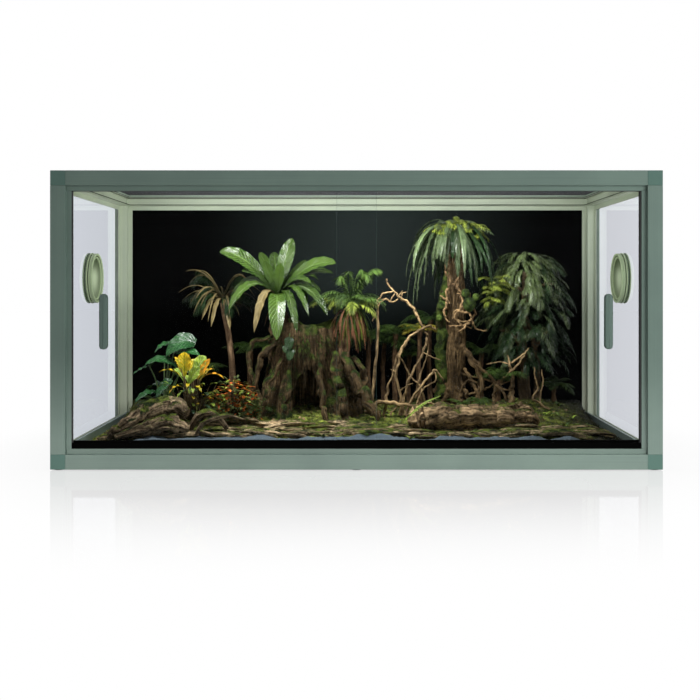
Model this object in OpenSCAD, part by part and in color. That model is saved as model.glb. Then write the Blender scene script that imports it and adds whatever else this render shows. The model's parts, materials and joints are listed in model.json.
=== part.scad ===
// Planted reptile terrarium: an aluminium frame of finned square tube with corner blocks,
// fixed glass at both ends, a black rear panel, two bypass sliding glass doors, a lift-off
// mesh lid, round closable vents in the end glass, and a planted base tray.
// Millimetres, +Z up, front towards -Y, origin on the floor under the middle of the cabinet.

/* [Cabinet] */
// Overall width across the corner blocks
cabinet_w = 1220; // [1180:10:1400]
// Overall depth from front face to rear face
cabinet_d = 600; // [590:10:720]
// Height of the frame above its feet
cabinet_h = 596; // [590:2:720]

/* [Frame extrusion] */
// Side of the square tube
tube = 30; // [28:0.5:34]
// Wall of the square tube
tube_wall = 1.8; // [1.6:0.1:2.4]
// Width of the glazing fins on each tube
fin_w = 10; // [9:0.5:14]
// Thickness of the glazing fins
fin_t = 2; // [1.5:0.1:3]
// Distance from the outer faces to the fins
fin_setback = 10; // [9.5:0.5:12]

/* [Corner blocks and screws] */
// Length of a corner block's arm inside a tube
arm_len = 40; // [30:1:60]
// Play between an arm and the tube around it
arm_play = 0.2; // [0.1:0.05:0.4]
// Distance of a frame screw from the tube's end
screw_inset = 20; // [12:1:26]
// Length of a frame screw
screw_len = 10; // [7:0.5:14]
// Radius of a frame screw's shank
screw_r = 1.5; // [1:0.1:2]
// Radius of a frame screw's countersunk head
screw_head_r = 2.9; // [2.5:0.1:3.5]
// Height of a frame screw's countersunk head
screw_head_h = 1.4; // [1:0.1:1.5]

/* [Feet] */
// Radius of a rubber foot
foot_r = 11; // [8:0.5:13]
// How far the feet stand below the frame
foot_proud = 1.5; // [1:0.5:4]
// Depth of a foot's recess in its corner block
foot_recess = 1.5; // [1:0.25:3]

/* [Glazing] */
// Thickness of the glazing strip between fin and panel
bead_t = 1; // [0.5:0.25:1.5]
// Thickness of the end glass
glass_t = 5; // [4:0.5:6]
// Thickness of the rear panel
rear_t = 3; // [2:0.5:6]
// Edge clearance of the fixed panels inside the tubes
panel_play = 1; // [0.5:0.25:2]

/* [Sliding doors] */
// Thickness of the door glass
door_t = 5; // [4:0.5:5.5]
// Play of the door glass on each side of its channel
door_play = 0.5; // [0.3:0.1:0.8]
// Thickness of the walls of the door tracks
track_wall = 2; // [1.5:0.1:2.2]
// Height of the lower door track above the tube
track_h = 22; // [18:0.5:26]
// Depth of the lower channels
low_channel = 4.5; // [3.5:0.5:6]
// Depth of the upper channels
high_channel = 8.5; // [7.5:0.25:8.75]
// How deep a door stands in its upper channel
door_engage = 4; // [3:0.5:4.5]
// Overlap of the two doors at the middle
door_overlap = 80; // [40:5:120]
// Thickness of the jamb seals on the posts
jamb_t = 5; // [3:0.5:6]
// How far a jamb seal's front lip shows past the fin
jamb_show = 3; // [1:0.5:4]

/* [Door handles] */
// Width of a door handle
handle_w = 16.5; // [12:0.5:22]
// Length of a door handle
handle_l = 111; // [80:1:160]
// Thickness of a door handle's bar
handle_t = 13; // [9:0.5:13.5]
// Thickness of the adhesive pad under a handle
pad_t = 1; // [0.5:0.25:1.25]
// How much a handle's face is domed
handle_crown = 1.5; // [0.5:0.25:3]
// Distance of a handle's middle from the frame's outer end
handle_inset = 105; // [70:1:140]
// Height of a handle's middle above the floor
handle_z = 296; // [240:1:340]

/* [Vents] */
// Radius of a vent's flanges
vent_r = 57; // [52:0.5:62]
// Radius of the sleeve through the glass
sleeve_r = 48.7; // [44:0.1:49.5]
// Wall of the sleeve
sleeve_wall = 3; // [2:0.1:4]
// Thickness of a vent's outer flange
vent_flange_t = 2.2; // [1.5:0.1:2.4]
// Thickness of a vent's ring nut
vent_nut_t = 3; // [2:0.1:4]
// Thickness of a vent's rubber ring
vent_gasket_t = 1.5; // [1:0.1:2.5]
// Depth of a vent cap, from its face to its rubber ring
cap_depth = 9; // [8:0.5:12]
// How deep a vent cap's face is dished
cap_dish = 7; // [4:0.5:9]
// Wall of a vent cap
cap_wall = 2; // [1.5:0.1:2.5]
// Height of the vents' middle above the floor
vent_z = 384; // [300:1:440]
// Thickness of a vent's mesh disc
vent_mesh_t = 0.6; // [0.4:0.1:1]

/* [Lid] */
// Width and height of a lid bar
lid_bar = 8; // [7:0.5:8.5]
// Height of a lid bar's ledge under the mesh
lid_ledge_h = 4; // [3.5:0.1:4.5]
// Width of a lid bar's outer upstand
lid_upstand = 4; // [3:0.25:4.5]
// Play of the lid inside the top tubes
lid_play = 0.5; // [0.3:0.1:1.5]
// Thickness of the lid's mesh
lid_mesh_t = 0.8; // [0.5:0.1:1.2]
// Width of the bands between the openings in the lid's mesh
lid_mesh_band = 4; // [3:0.5:8]
// Thickness of the spline that holds the mesh
spline_t = 3; // [2:0.1:3]
// Thickness of the foam strip under the lid
lid_gasket_t = 1.5; // [1:0.25:2]
// Length of a lid corner key's arms
key_arm = 22; // [14:1:40]

/* [Base] */
// Thickness of the floor panel
floor_t = 4; // [3:0.5:6]
// Height of the base tray
tray_h = 32; // [28:1:40]
// Wall of the base tray
tray_wall = 2; // [1.5:0.25:3]
// Width of the base tray's front rim
tray_front_rim = 33; // [24:1:44]
// Width of the base tray's side and rear rim
tray_rim = 3; // [2:0.5:8]
// Height of the substrate over the tray's rim at the front
soil_front = 2; // [1:0.5:6]
// Height of the substrate over the tray's rim at the rear
soil_rear = 30; // [12:1:34]

/* [Planting] */
// Radius of the cork stump at its foot
stump_r = 102; // [90:1:105]
// Radius of the cork stump at its top
stump_top_r = 70; // [60:1:75]
// Height of the cork stump
stump_h = 205; // [180:5:225]
// Radius of the cave in the cork stump
cave_r = 30; // [22:1:34]
// Depth of the cave in the cork stump
cave_depth = 95; // [60:5:110]
// Height of the cave's narrower upper part above its wide foot
cave_rise = 38; // [20:1:60]
// Height of the nest fern's rooted stem above the stump
fern_neck = 30; // [10:1:40]
// Height of the shoulder fern's stem above the stump's lobe
shoulder_stem = 58; // [30:1:90]
// Height of the tall trunk
trunk_h = 395; // [350:5:415]
// Radius of the tall trunk at its foot
trunk_r = 34; // [26:1:36]
// Height of the small palm's trunk
palm_h = 245; // [200:5:260]
// Radius of the small palm's trunk
palm_r = 10; // [7:0.5:13]
// Radius of the front log
log_r = 27; // [20:1:30]
// Length of the front log
log_l = 235; // [200:5:245]
// How far the front log's right end is turned to the rear, in degrees
log_turn = 12; // [-15:1:20]
// Thickness of the flat bark slabs
slab_t = 12; // [8:1:16]

/* [Hidden] */

$fn = 64;
seat_gap = 0.3; // between pieces that only rest on each other
hair = 0.05;    // running clearance of screws in their holes
past = 1;       // how far a cutter runs past what it cuts

half_w = cabinet_w / 2;
half_d = cabinet_d / 2;
base_z = foot_proud;
top_z = base_z + cabinet_h;
mid_z = (base_z + top_z) / 2;
in_w = half_w - tube;          // inner face of the end tubes
in_d = half_d - tube;          // inner face of the front and rear tubes
low_z = base_z + tube;         // top of the bottom tubes
high_z = top_z - tube;         // underside of the top tubes
arm_gap = tube_wall + arm_play;
arm_side = tube - 2 * arm_gap;
post_l = high_z - low_z;

frame_green = [0.36, 0.45, 0.40];
block_green = [0.24, 0.38, 0.33];
vent_green = [0.62, 0.70, 0.55];
seal_black = [0.05, 0.05, 0.05];
steel = [0.70, 0.71, 0.72];
clear_glass = [0.85, 0.92, 0.90, 0.35];
bark_brown = [0.38, 0.28, 0.18];
leaf_green = [0.22, 0.42, 0.15];

// ---------- Frame ----------

// Places children built for the left end at the right end instead
module at_end(side) {
    mirror([side > 0 ? 1 : 0, 0, 0]) children();
}

// Places children built for the front at the rear instead
module at_depth(side) {
    mirror([0, side > 0 ? 1 : 0, 0]) children();
}

// Places children built for the bottom at the top instead
module at_level(side) {
    translate([0, 0, side > 0 ? 2 * mid_z : 0])
        mirror([0, 0, side > 0 ? 1 : 0])
            children();
}

// Countersunk screw with its head's face on the XY plane, pointing up
module frame_screw(grow = 0) {
    translate([0, 0, -grow])
        cylinder(h = screw_head_h + grow, r1 = screw_head_r + grow, r2 = screw_r + grow);
    cylinder(h = screw_len + grow, r = screw_r + grow);
}

// Screws along a tube of this length; the screwed face is the profile's X or Y outer face
module tube_screws(length, on_x_face, grow = 0) {
    for (end = [-1, 1]) {
        along = end * (length / 2 - screw_inset);
        if (on_x_face)
            translate([0, tube / 2, along]) rotate([0, 90, 0]) frame_screw(grow);
        else
            translate([tube / 2, 0, along]) rotate([-90, 0, 0]) frame_screw(grow);
    }
}

// Square tube with two fins: outer corner at the origin, centred along Z.
// The fins start trim_a and trim_b short of the tube's ends, where another fin passes.
module finned_tube(length, on_x_face, trim_a, trim_b) {
    difference() {
        translate([0, 0, -length / 2]) {
            difference() {
                cube([tube, tube, length]);
                translate([tube_wall, tube_wall, -past])
                    cube([tube - 2 * tube_wall, tube - 2 * tube_wall, length + 2 * past]);
            }
            translate([tube, fin_setback, trim_a])
                cube([fin_w, fin_t, length - 2 * trim_a]);
            translate([fin_setback, tube, trim_b])
                cube([fin_t, fin_w, length - 2 * trim_b]);
        }
        tube_screws(length, on_x_face, hair);
    }
}

module place_width_rail(depth, level) {
    at_level(level) at_depth(depth)
        translate([0, -half_d, base_z]) rotate([90, 0, 90]) children();
}

module place_depth_rail(end, level) {
    at_level(level) at_end(end)
        translate([-half_w, 0, base_z]) rotate([90, 0, 0]) children();
}

module place_post(end, depth) {
    at_end(end) at_depth(depth)
        translate([-half_w, -half_d, mid_z]) children();
}

module width_rail(depth, level) {
    color(frame_green) place_width_rail(depth, level)
        finned_tube(2 * in_w, false, 0, 0);
}

module depth_rail(end, level) {
    color(frame_green) place_depth_rail(end, level)
        finned_tube(2 * in_d, false, fin_w, 0);
}

module post(end, depth) {
    color(frame_green) place_post(end, depth)
        finned_tube(post_l, true, fin_w, fin_w);
}

// Corner block at the left, front, bottom corner
module corner_block(with_foot) {
    difference() {
        translate([-half_w, -half_d, base_z]) {
            cube([tube, tube, tube]);
            translate([tube, arm_gap, arm_gap]) cube([arm_len, arm_side, arm_side]);
            translate([arm_gap, tube, arm_gap]) cube([arm_side, arm_len, arm_side]);
            translate([arm_gap, arm_gap, tube]) cube([arm_side, arm_side, arm_len]);
        }
        place_width_rail(-1, -1) tube_screws(2 * in_w, false, hair);
        place_depth_rail(-1, -1) tube_screws(2 * in_d, false, hair);
        place_post(-1, -1) tube_screws(post_l, true, hair);
        if (with_foot)
            translate([-half_w + tube / 2, -half_d + tube / 2, base_z - past])
                cylinder(h = past + foot_recess, r = foot_r + hair);
    }
}

module corner_blocks() {
    color(block_green)
        for (end = [-1, 1], depth = [-1, 1], level = [-1, 1])
            at_level(level) at_depth(depth) at_end(end) corner_block(level < 0);
}

module frame_screws() {
    color(steel) {
        for (depth = [-1, 1], level = [-1, 1])
            place_width_rail(depth, level) tube_screws(2 * in_w, false);
        for (end = [-1, 1], level = [-1, 1])
            place_depth_rail(end, level) tube_screws(2 * in_d, false);
        for (end = [-1, 1], depth = [-1, 1])
            place_post(end, depth) tube_screws(post_l, true);
    }
}

module rubber_feet() {
    color(seal_black)
        for (depth = [-1, 1]) {
            for (end = [-1, 1])
                translate([end * (half_w - tube / 2), depth * (half_d - tube / 2), 0])
                    cylinder(h = foot_proud + foot_recess, r = foot_r);
            translate([0, depth * (half_d - tube / 2), 0])
                cylinder(h = foot_proud, r = foot_r);
        }
}

// ---------- Fixed panels ----------

panel_low = low_z + panel_play;
panel_high = high_z - panel_play;
strip_w = fin_w - panel_play;
end_strip_x = half_w - fin_setback;        // outer face of the end fins
end_glass_x = end_strip_x + bead_t;        // inner face of the end glass
rear_strip_y = half_d - fin_setback;
rear_panel_y = rear_strip_y + bead_t;

// Flat frame in the XY plane: outer size, width of its sides and thickness
module flat_frame(size, side, thick) {
    difference() {
        translate([-size[0] / 2, -size[1] / 2, 0]) cube([size[0], size[1], thick]);
        translate([-size[0] / 2 + side, -size[1] / 2 + side, -past])
            cube([size[0] - 2 * side, size[1] - 2 * side, thick + 2 * past]);
    }
}

module side_glass(end) {
    color(clear_glass) at_end(end) difference() {
        translate([-end_glass_x - glass_t, -in_d + panel_play, panel_low])
            cube([glass_t, 2 * (in_d - panel_play), panel_high - panel_low]);
        translate([-end_glass_x - glass_t - past, 0, vent_z]) rotate([0, 90, 0])
            cylinder(h = glass_t + 2 * past, r = sleeve_r + seat_gap);
    }
}

module rear_panel() {
    color([0.03, 0.03, 0.03])
        translate([-in_w + panel_play, rear_panel_y, panel_low])
            cube([2 * (in_w - panel_play), rear_t, panel_high - panel_low]);
}

module glazing_strips() {
    color([0.75, 0.78, 0.76]) {
        for (end = [-1, 1])
            at_end(end) translate([-end_strip_x, 0, mid_z]) rotate([0, -90, 0])
                flat_frame([panel_high - panel_low, 2 * (in_d - panel_play)], strip_w, bead_t);
        translate([0, rear_strip_y, mid_z]) rotate([-90, 0, 0])
            flat_frame([2 * (in_w - panel_play), panel_high - panel_low], strip_w, bead_t);
    }
}

// ---------- Base ----------

floor_z = base_z + fin_setback + fin_t;
tray_z = floor_z + floor_t;
tray_top = tray_z + tray_h;
rim_w = in_w - seat_gap;
rim_d = in_d - seat_gap;
tray_in_w = rim_w - tray_rim - tray_wall;           // half width inside the tray
tray_front_y = -rim_d + tray_front_rim + tray_wall; // inside of the tray's front wall
tray_rear_y = rim_d - tray_rim - tray_wall;         // inside of the tray's rear wall

module floor_panel() {
    color([0.15, 0.16, 0.16])
        translate([-rim_w, -rim_d, floor_z]) cube([2 * rim_w, 2 * rim_d, floor_t]);
}

module base_tray() {
    color([0.36, 0.41, 0.45]) difference() {
        union() {
            translate([-tray_in_w - tray_wall, tray_front_y - tray_wall, tray_z])
                cube([2 * (tray_in_w + tray_wall),
                      tray_rear_y - tray_front_y + 2 * tray_wall, tray_h]);
            translate([-rim_w, -rim_d, tray_top - tray_wall])
                cube([2 * rim_w, 2 * rim_d, tray_wall]);
        }
        translate([-tray_in_w, tray_front_y, tray_z + tray_wall])
            cube([2 * tray_in_w, tray_rear_y - tray_front_y, tray_h]);
    }
}

// ---------- Door tracks and seals ----------

track_front_y = -half_d + fin_setback + fin_t;
channel_w = door_t + 2 * door_play;
track_depth = 3 * track_wall + 2 * channel_w;
track_top_z = low_z + track_h;
high_track_h = fin_w;
high_track_z = high_z - high_track_h;
outer_channel_y = track_front_y + track_wall;
inner_channel_y = outer_channel_y + channel_w + track_wall;
outer_door_y = outer_channel_y + door_play;
inner_door_y = inner_channel_y + door_play;
chamber_h = track_h - low_channel - 2 * track_wall; // hollow under the lower channels

module lower_door_track() {
    color(seal_black) difference() {
        translate([-in_w, track_front_y, low_z]) cube([2 * in_w, track_depth, track_h]);
        for (channel_y = [outer_channel_y, inner_channel_y])
            translate([-in_w - past, channel_y, track_top_z - low_channel])
                cube([2 * (in_w + past), channel_w, low_channel + past]);
        translate([-in_w - past, outer_channel_y, low_z + track_wall])
            cube([2 * (in_w + past), track_depth - 2 * track_wall, chamber_h]);
    }
}

module upper_door_track() {
    color(seal_black) difference() {
        translate([-in_w, track_front_y, high_track_z])
            cube([2 * in_w, track_depth, high_track_h]);
        for (channel_y = [outer_channel_y, inner_channel_y])
            translate([-in_w - past, channel_y, high_track_z - past])
                cube([2 * (in_w + past), channel_w, high_channel + past]);
    }
}

jamb_z = track_top_z;
jamb_h = high_track_z - track_top_z;
jamb_lip = fin_w + jamb_show; // reach of the front lip from the post

// Seal on the left post: a base, a front lip up to the door and a rear lip behind it
module jamb_seal(door_y) {
    translate([-in_w, track_front_y, jamb_z]) {
        cube([jamb_t, track_depth, jamb_h]);
        cube([jamb_lip, door_y - seat_gap - track_front_y, jamb_h]);
    }
}

module door_jamb_seals() {
    color(seal_black) {
        jamb_seal(outer_door_y);
        at_end(1) jamb_seal(inner_door_y);
    }
}

// ---------- Doors ----------

door_edge = in_w - jamb_t - 1;              // closed edge of a door
door_low_z = track_top_z - low_channel + seat_gap;
door_high_z = high_track_z + door_engage;
handle_x = half_w - handle_inset;

module door_glass(end, door_y) {
    color(clear_glass) at_end(end)
        translate([-door_edge, door_y, door_low_z])
            cube([door_edge + door_overlap / 2, door_t, door_high_z - door_low_z]);
}

// Long outline with round ends, standing up along Y
module stadium(width, length) {
    square([width, length - width], center = true);
    for (end = [-1, 1])
        translate([0, end * (length - width) / 2]) circle(r = width / 2);
}

module handle_pad(end, door_y) {
    color(seal_black) at_end(end)
        translate([-handle_x, door_y, handle_z]) rotate([90, 0, 0])
            linear_extrude(pad_t) stadium(handle_w - 2, handle_l - 2);
}

module door_handle(end, door_y) {
    dome_r = (pow(handle_w / 2, 2) + pow(handle_crown, 2)) / (2 * handle_crown);
    color(frame_green) at_end(end)
        translate([-handle_x, door_y - pad_t, handle_z]) rotate([90, 0, 0])
            intersection() {
                linear_extrude(handle_t) stadium(handle_w, handle_l);
                translate([0, 0, handle_t - dome_r]) rotate([90, 0, 0])
                    cylinder(h = handle_l + 2 * past, r = dome_r, center = true, $fn = 128);
            }
}

// ---------- Vents ----------

// Vent pieces are turned about the glass's normal: local Z points into the cabinet and
// is zero on the inner face of the left end glass.
module at_vent(end) {
    at_end(end) translate([-end_glass_x, 0, vent_z]) rotate([0, 90, 0]) children();
}

nut_face = vent_nut_t;
ring_face = nut_face + vent_gasket_t;
cap_rim = ring_face + seat_gap;
cap_face = cap_rim + cap_depth;
sleeve_end = cap_face - cap_wall - 0.5;
sleeve_out = glass_t + seat_gap;               // outer flange's seat outside the glass
mesh_seat = glass_t;                           // the mesh lies against the sleeve's lip

module ring(outer, inner, low, high) {
    translate([0, 0, low]) difference() {
        cylinder(h = high - low, r = outer);
        translate([0, 0, -past]) cylinder(h = high - low + 2 * past, r = inner);
    }
}

module vent_sleeve(end) {
    lip = 4;
    color(vent_green) at_vent(end) {
        ring(vent_r, sleeve_r - sleeve_wall - lip, -sleeve_out - vent_flange_t, -sleeve_out);
        ring(sleeve_r, sleeve_r - sleeve_wall, -sleeve_out, sleeve_end);
    }
}

module vent_nut(end) {
    color(vent_green) at_vent(end) ring(vent_r, sleeve_r + hair, 0, nut_face);
}

// Cap: a deep rim around the sleeve and a face dished towards the glass
module vent_cap(end) {
    rim_r = vent_r - 1;
    bore_r = sleeve_r + seat_gap;
    dish_r = sleeve_r - sleeve_wall - 1.5;
    ball_r = (pow(dish_r, 2) + pow(cap_dish, 2)) / (2 * cap_dish);
    color(vent_green) at_vent(end) {
        ring(rim_r, bore_r, cap_rim, cap_face);
        ring(bore_r + hair, dish_r - hair, cap_face - cap_wall, cap_face);
        rotate_extrude() intersection() {
            square([dish_r, cap_face]);
            difference() {
                translate([0, cap_face - cap_dish + ball_r]) circle(r = ball_r + cap_wall, $fn = 180);
                translate([0, cap_face - cap_dish + ball_r]) circle(r = ball_r, $fn = 180);
            }
        }
    }
}

module vent_rubber_rings() {
    color(seal_black) for (end = [-1, 1])
        at_vent(end) ring(vent_r - 3, sleeve_r + hair, nut_face, ring_face);
}

module vent_mesh_discs() {
    color(steel) for (end = [-1, 1])
        at_vent(end) translate([0, 0, -mesh_seat])
            cylinder(h = vent_mesh_t, r = sleeve_r - sleeve_wall - hair);
}

// ---------- Lid ----------

lid_fin_z = top_z - fin_setback;               // upper face of the lid fins
lid_low_z = lid_fin_z + lid_gasket_t + seat_gap;
lid_hw = in_w - lid_play;
lid_hd = in_d - lid_play;
ledge_z = lid_low_z + lid_ledge_h;
mesh_inset = lid_upstand + 0.2;
key_h = lid_ledge_h - 2;
key_w = lid_bar - 2.4;

module lid_gasket() {
    color(seal_black) translate([0, 0, lid_fin_z])
        flat_frame([2 * (in_w - panel_play), 2 * (in_d - panel_play)], strip_w, lid_gasket_t);
}

// One bar of the lid, its outer face along X, with mitred ends and a hollow ledge
module lid_bar_piece(length) {
    top_h = lid_bar - lid_ledge_h;
    intersection() {
        difference() {
            translate([-length / 2, 0, 0]) cube([length, lid_bar, lid_ledge_h]);
            translate([-length / 2 - past, 1.2 - hair, 1 - hair])
                cube([length + 2 * past, key_w + 2 * hair, key_h + 2 * hair]);
        }
        lid_mitre(length);
    }
    intersection() {
        translate([-length / 2, 0, lid_ledge_h]) cube([length, lid_upstand, top_h]);
        lid_mitre(length);
    }
}

module lid_mitre(length) {
    half = length / 2;
    linear_extrude(lid_bar)
        polygon([[-half, 0], [half, 0], [half - lid_bar, lid_bar], [lid_bar - half, lid_bar]]);
}

module lid_long_bars() {
    color(frame_green) for (depth = [-1, 1])
        at_depth(depth) translate([0, -lid_hd, lid_low_z]) lid_bar_piece(2 * lid_hw);
}

module lid_short_bars() {
    color(frame_green) for (end = [-1, 1])
        at_end(end) translate([-lid_hw, 0, lid_low_z]) rotate([0, 0, -90])
            lid_bar_piece(2 * lid_hd);
}

module lid_corner_keys() {
    color([0.10, 0.10, 0.10]) for (end = [-1, 1], depth = [-1, 1])
        at_end(end) at_depth(depth)
            translate([-lid_hw + 1.2, -lid_hd + 1.2, lid_low_z + 1]) {
                cube([key_arm, key_w, key_h]);
                cube([key_w, key_arm, key_h]);
            }
}

// Sheet of the lid, its fine mesh drawn as a plain grid of openings
module lid_mesh() {
    sheet = 2 * [lid_hw - mesh_inset, lid_hd - mesh_inset];
    border = lid_bar - mesh_inset;
    cells = [12, 5];
    cell = [(sheet[0] - 2 * border) / cells[0], (sheet[1] - 2 * border) / cells[1]];
    color([0.25, 0.26, 0.27]) translate([-sheet[0] / 2, -sheet[1] / 2, ledge_z]) difference() {
        cube([sheet[0], sheet[1], lid_mesh_t]);
        for (i = [0 : cells[0] - 1], j = [0 : cells[1] - 1])
            translate([border + i * cell[0] + lid_mesh_band / 2,
                       border + j * cell[1] + lid_mesh_band / 2, -past])
                cube([cell[0] - lid_mesh_band, cell[1] - lid_mesh_band, lid_mesh_t + 2 * past]);
    }
}

module lid_spline() {
    color(seal_black) translate([0, 0, ledge_z + lid_mesh_t])
        flat_frame([2 * (lid_hw - mesh_inset), 2 * (lid_hd - mesh_inset)],
                   lid_bar - mesh_inset, spline_t - 0.2);
}

// ---------- Planting ----------

soil_z = tray_z + tray_wall;
soil_front_z = tray_top + soil_front;
soil_rear_z = tray_top + soil_rear;
slope_start = tray_front_y + 50;
slope_end = 120;

// The planting plan is drawn for these inside half sizes, and spreads with the cabinet
plan_half_w = 580;
plan_half_d = 270;
grow = min(in_w / plan_half_w, in_d / plan_half_d);

// Place on the plan, moved with the cabinet's size
function spot(x, y) = [x * in_w / plan_half_w, y * in_d / plan_half_d];

function ground(y) = y < slope_start ? soil_front_z
    : y > slope_end ? soil_rear_z
    : soil_front_z + (soil_rear_z - soil_front_z) * (y - slope_start) / (slope_end - slope_start);

// Side profile of the substrate, raised by a gap on its upper side
module soil_outline(front_y, rear_y, low, gap) {
    polygon([[front_y, low], [rear_y, low], [rear_y, soil_rear_z + gap],
             [slope_end, soil_rear_z + gap], [slope_start, soil_front_z + gap],
             [front_y, soil_front_z + gap]]);
}

module soil_block(half_width, front_y, rear_y, low, gap) {
    translate([-half_width, 0, 0]) rotate([90, 0, 90])
        linear_extrude(2 * half_width) soil_outline(front_y, rear_y, low, gap);
}

module substrate_bed() {
    color([0.20, 0.16, 0.11])
        soil_block(tray_in_w - seat_gap, tray_front_y + seat_gap, tray_rear_y - seat_gap,
                   soil_z, 0);
}

// Children with their foot cut off along the ground, just above it
module planted() {
    difference() {
        children();
        soil_block(half_w, -half_d, half_d, 0, seat_gap);
    }
}

// Height of a plant's round heart that rests on the slope of the ground
function plant_z(y, heart) = ground(y + heart * 0.4) + seat_gap + pole(heart);

// Height of a coarse ball's flat pole above its middle
function pole(radius, sides = 8) = radius * cos(90 / floor((sides + 1) / 2));

// Smooth limb through points, from radius r1 at the first to r2 at the last
module limb(points, r1, r2, sides = 8) {
    last = len(points) - 1;
    for (i = [0 : last - 1]) hull() {
        translate(points[i]) sphere(r = r1 + (r2 - r1) * i / last, $fn = sides);
        translate(points[i + 1]) sphere(r = r1 + (r2 - r1) * (i + 1) / last, $fn = sides);
    }
}

// A strap leaf or frond: it climbs by rise, falls by drop and reaches out by reach
module frond(turn, reach, rise, drop, width, steps = 3) {
    rotate([0, 0, turn]) for (i = [0 : steps - 1]) hull()
        for (t = [i / steps, (i + 1) / steps])
            translate([reach * t, 0, rise * (1 - pow(1 - t, 2)) - drop * pow(t, 3)])
                cylinder(h = 3, r = width * (0.25 + 1.5 * t * (1 - t)) + 1, $fn = 4);
}

// Ring of fronds with a round heart; each starts a little higher than the one before
module rosette(count, reach, rise, drop, width, heart, turn = 0, steps = 3) {
    stagger = 0.6;
    sphere(r = heart, $fn = 8);
    for (i = [0 : count - 1]) translate([0, 0, i * stagger - count * stagger / 2])
        frond(turn + i * 360 / count, grow * reach * (i % 2 == 0 ? 1 : 0.82), grow * rise,
              grow * drop, width, steps);
}

stump_at = spot(-120, 62);
stump_lobes = [[90, -34, 0.8, 44, 24], [-66, -26, 0.7, 52, 20]]; // dx, dy, height, radii
stump_top_z = ground(stump_at[1]) + stump_h;
cave_top_r = 0.8 * cave_r;
cave_at = [stump_at[0] + 2, ground(stump_at[1] - stump_r) + cave_r + 6];
trunk_at = spot(230, 70);
trunk_top_z = ground(trunk_at[1]) + trunk_h;
palm_at = spot(-325, 150);
palm_lean = 4;
palm_foot_z = ground(palm_at[1]) - 5;
fern_at = stump_at + [-58, -14];
right_stem_at = spot(405, 150);
branches_at = spot(55, 10);
broadleaf_at = spot(-440, -8);
croton_at = spot(-350, -118);
bush_at = spot(-268, -96);

module cork_stump() {
    color(bark_brown) planted() difference() {
        union() {
            translate([stump_at[0], stump_at[1], soil_z])
                cylinder(h = stump_top_z - soil_z, r1 = stump_r + 6, r2 = stump_top_r);
            for (lobe = stump_lobes)
                translate([stump_at[0] + lobe[0], stump_at[1] + lobe[1], soil_z])
                    cylinder(h = lobe[2] * (stump_top_z - soil_z), r1 = lobe[3], r2 = lobe[4]);
        }
        translate([cave_at[0], stump_at[1] - stump_r - 30, cave_at[1]]) {
            rotate([-90, 0, 0]) cylinder(h = cave_depth + 30, r = cave_r);
            translate([0, 0, cave_rise]) rotate([-90, 0, 0])
                cylinder(h = cave_depth + 30, r = cave_top_r);
            translate([-cave_top_r, 0, 0]) cube([2 * cave_top_r, cave_depth + 30, cave_rise]);
        }
    }
}

log_at = spot(250, -140);

module front_log() {
    color(bark_brown) planted()
        translate([log_at[0], log_at[1], ground(log_at[1] + log_r) + log_r - 5])
            rotate([0, 90, log_turn])
                cylinder(h = log_l, r1 = log_r, r2 = 0.8 * log_r, center = true);
}

wedge_at = spot(-435, -178);
wedge_d = 56;
wedge_side = [[-78, 0], [76, 0], [78, 30], [58, 68], [30, 64], [-30, 36], [-76, 16]];
slab_size = [54, 30];

// Sloping piece of cork bark at the front left and flat slabs at the front
module bark_pieces() {
    color(bark_brown) {
        planted() translate([wedge_at[0], wedge_at[1] + wedge_d / 2, ground(wedge_at[1]) - 12])
            rotate([90, 0, 0]) linear_extrude(wedge_d) polygon(wedge_side * grow);
        for (i = [0 : 2])
            translate([spot(70 + 62 * i, 0)[0], tray_front_y + 26, soil_front_z + seat_gap])
                rotate([0, 0, 14 - 12 * i])
                    translate([-slab_size[0] / 2, -slab_size[1] / 2, 0])
                        cube([slab_size[0], slab_size[1], slab_t]);
    }
}

module tall_trunk() {
    x = trunk_at[0];
    y = trunk_at[1];
    foot = ground(y);
    color(bark_brown) planted() {
        limb([[x - 8, y, foot], [x - 4, y, foot + 110], [x + 6, y, foot + 230],
              [x, y, foot + 310], [x, y, trunk_top_z - pole(0.6 * trunk_r)]],
             trunk_r, 0.6 * trunk_r);
        for (root = [-1, 1])
            limb([[x + root * 62, y - 46, foot - 2], [x + root * 34, y - 26, foot + 40],
                  [x + root * 10, y - 10, foot + 140]], 9, 12, 6);
    }
}

// Fern on the tall trunk, its long fronds hanging down all round
module hanging_fern() {
    color(leaf_green)
        translate([trunk_at[0], trunk_at[1], trunk_top_z + seat_gap + pole(16)]) {
            rosette(9, 92, 42, 190, 26, 16, 10);
            rosette(5, 58, 60, 60, 20, 12, 30);
        }
}

// Twisted dead branches between the stump and the trunk
module driftwood_branches() {
    x = branches_at[0];
    y = branches_at[1];
    foot = ground(y) - 4;
    color([0.48, 0.38, 0.26]) planted() {
        limb([[x + 7, y, foot], [x - 13, y + 6, foot + 120], [x - 25, y + 10, foot + 190],
              [x + 3, y + 14, foot + 248], [x + 57, y + 8, foot + 212], [x + 73, y, foot + 176],
              [x + 29, y - 6, foot + 130]], 9, 4, 6);
        limb([[x + 97, y - 10, foot], [x + 37, y - 6, foot + 60], [x + 31, y, foot + 120],
              [x + 95, y + 4, foot + 160], [x + 107, y + 8, foot + 230]], 9, 3, 6);
        limb([[x - 31, y + 4, foot], [x + 41, y - 16, foot + 34], [x + 105, y - 30, foot + 24]],
             8, 5, 6);
    }
}

// Broad strap leaves in a nest on a short rooted stem, on top of the stump
module birds_nest_fern() {
    color([0.30, 0.55, 0.20]) translate([fern_at[0], fern_at[1], stump_top_z + seat_gap]) {
        cylinder(h = fern_neck + 6, r1 = 20, r2 = 15);
        translate([0, 0, fern_neck + pole(22)]) rosette(11, 128, 124, 92, 27, 22, 16);
    }
}

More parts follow.
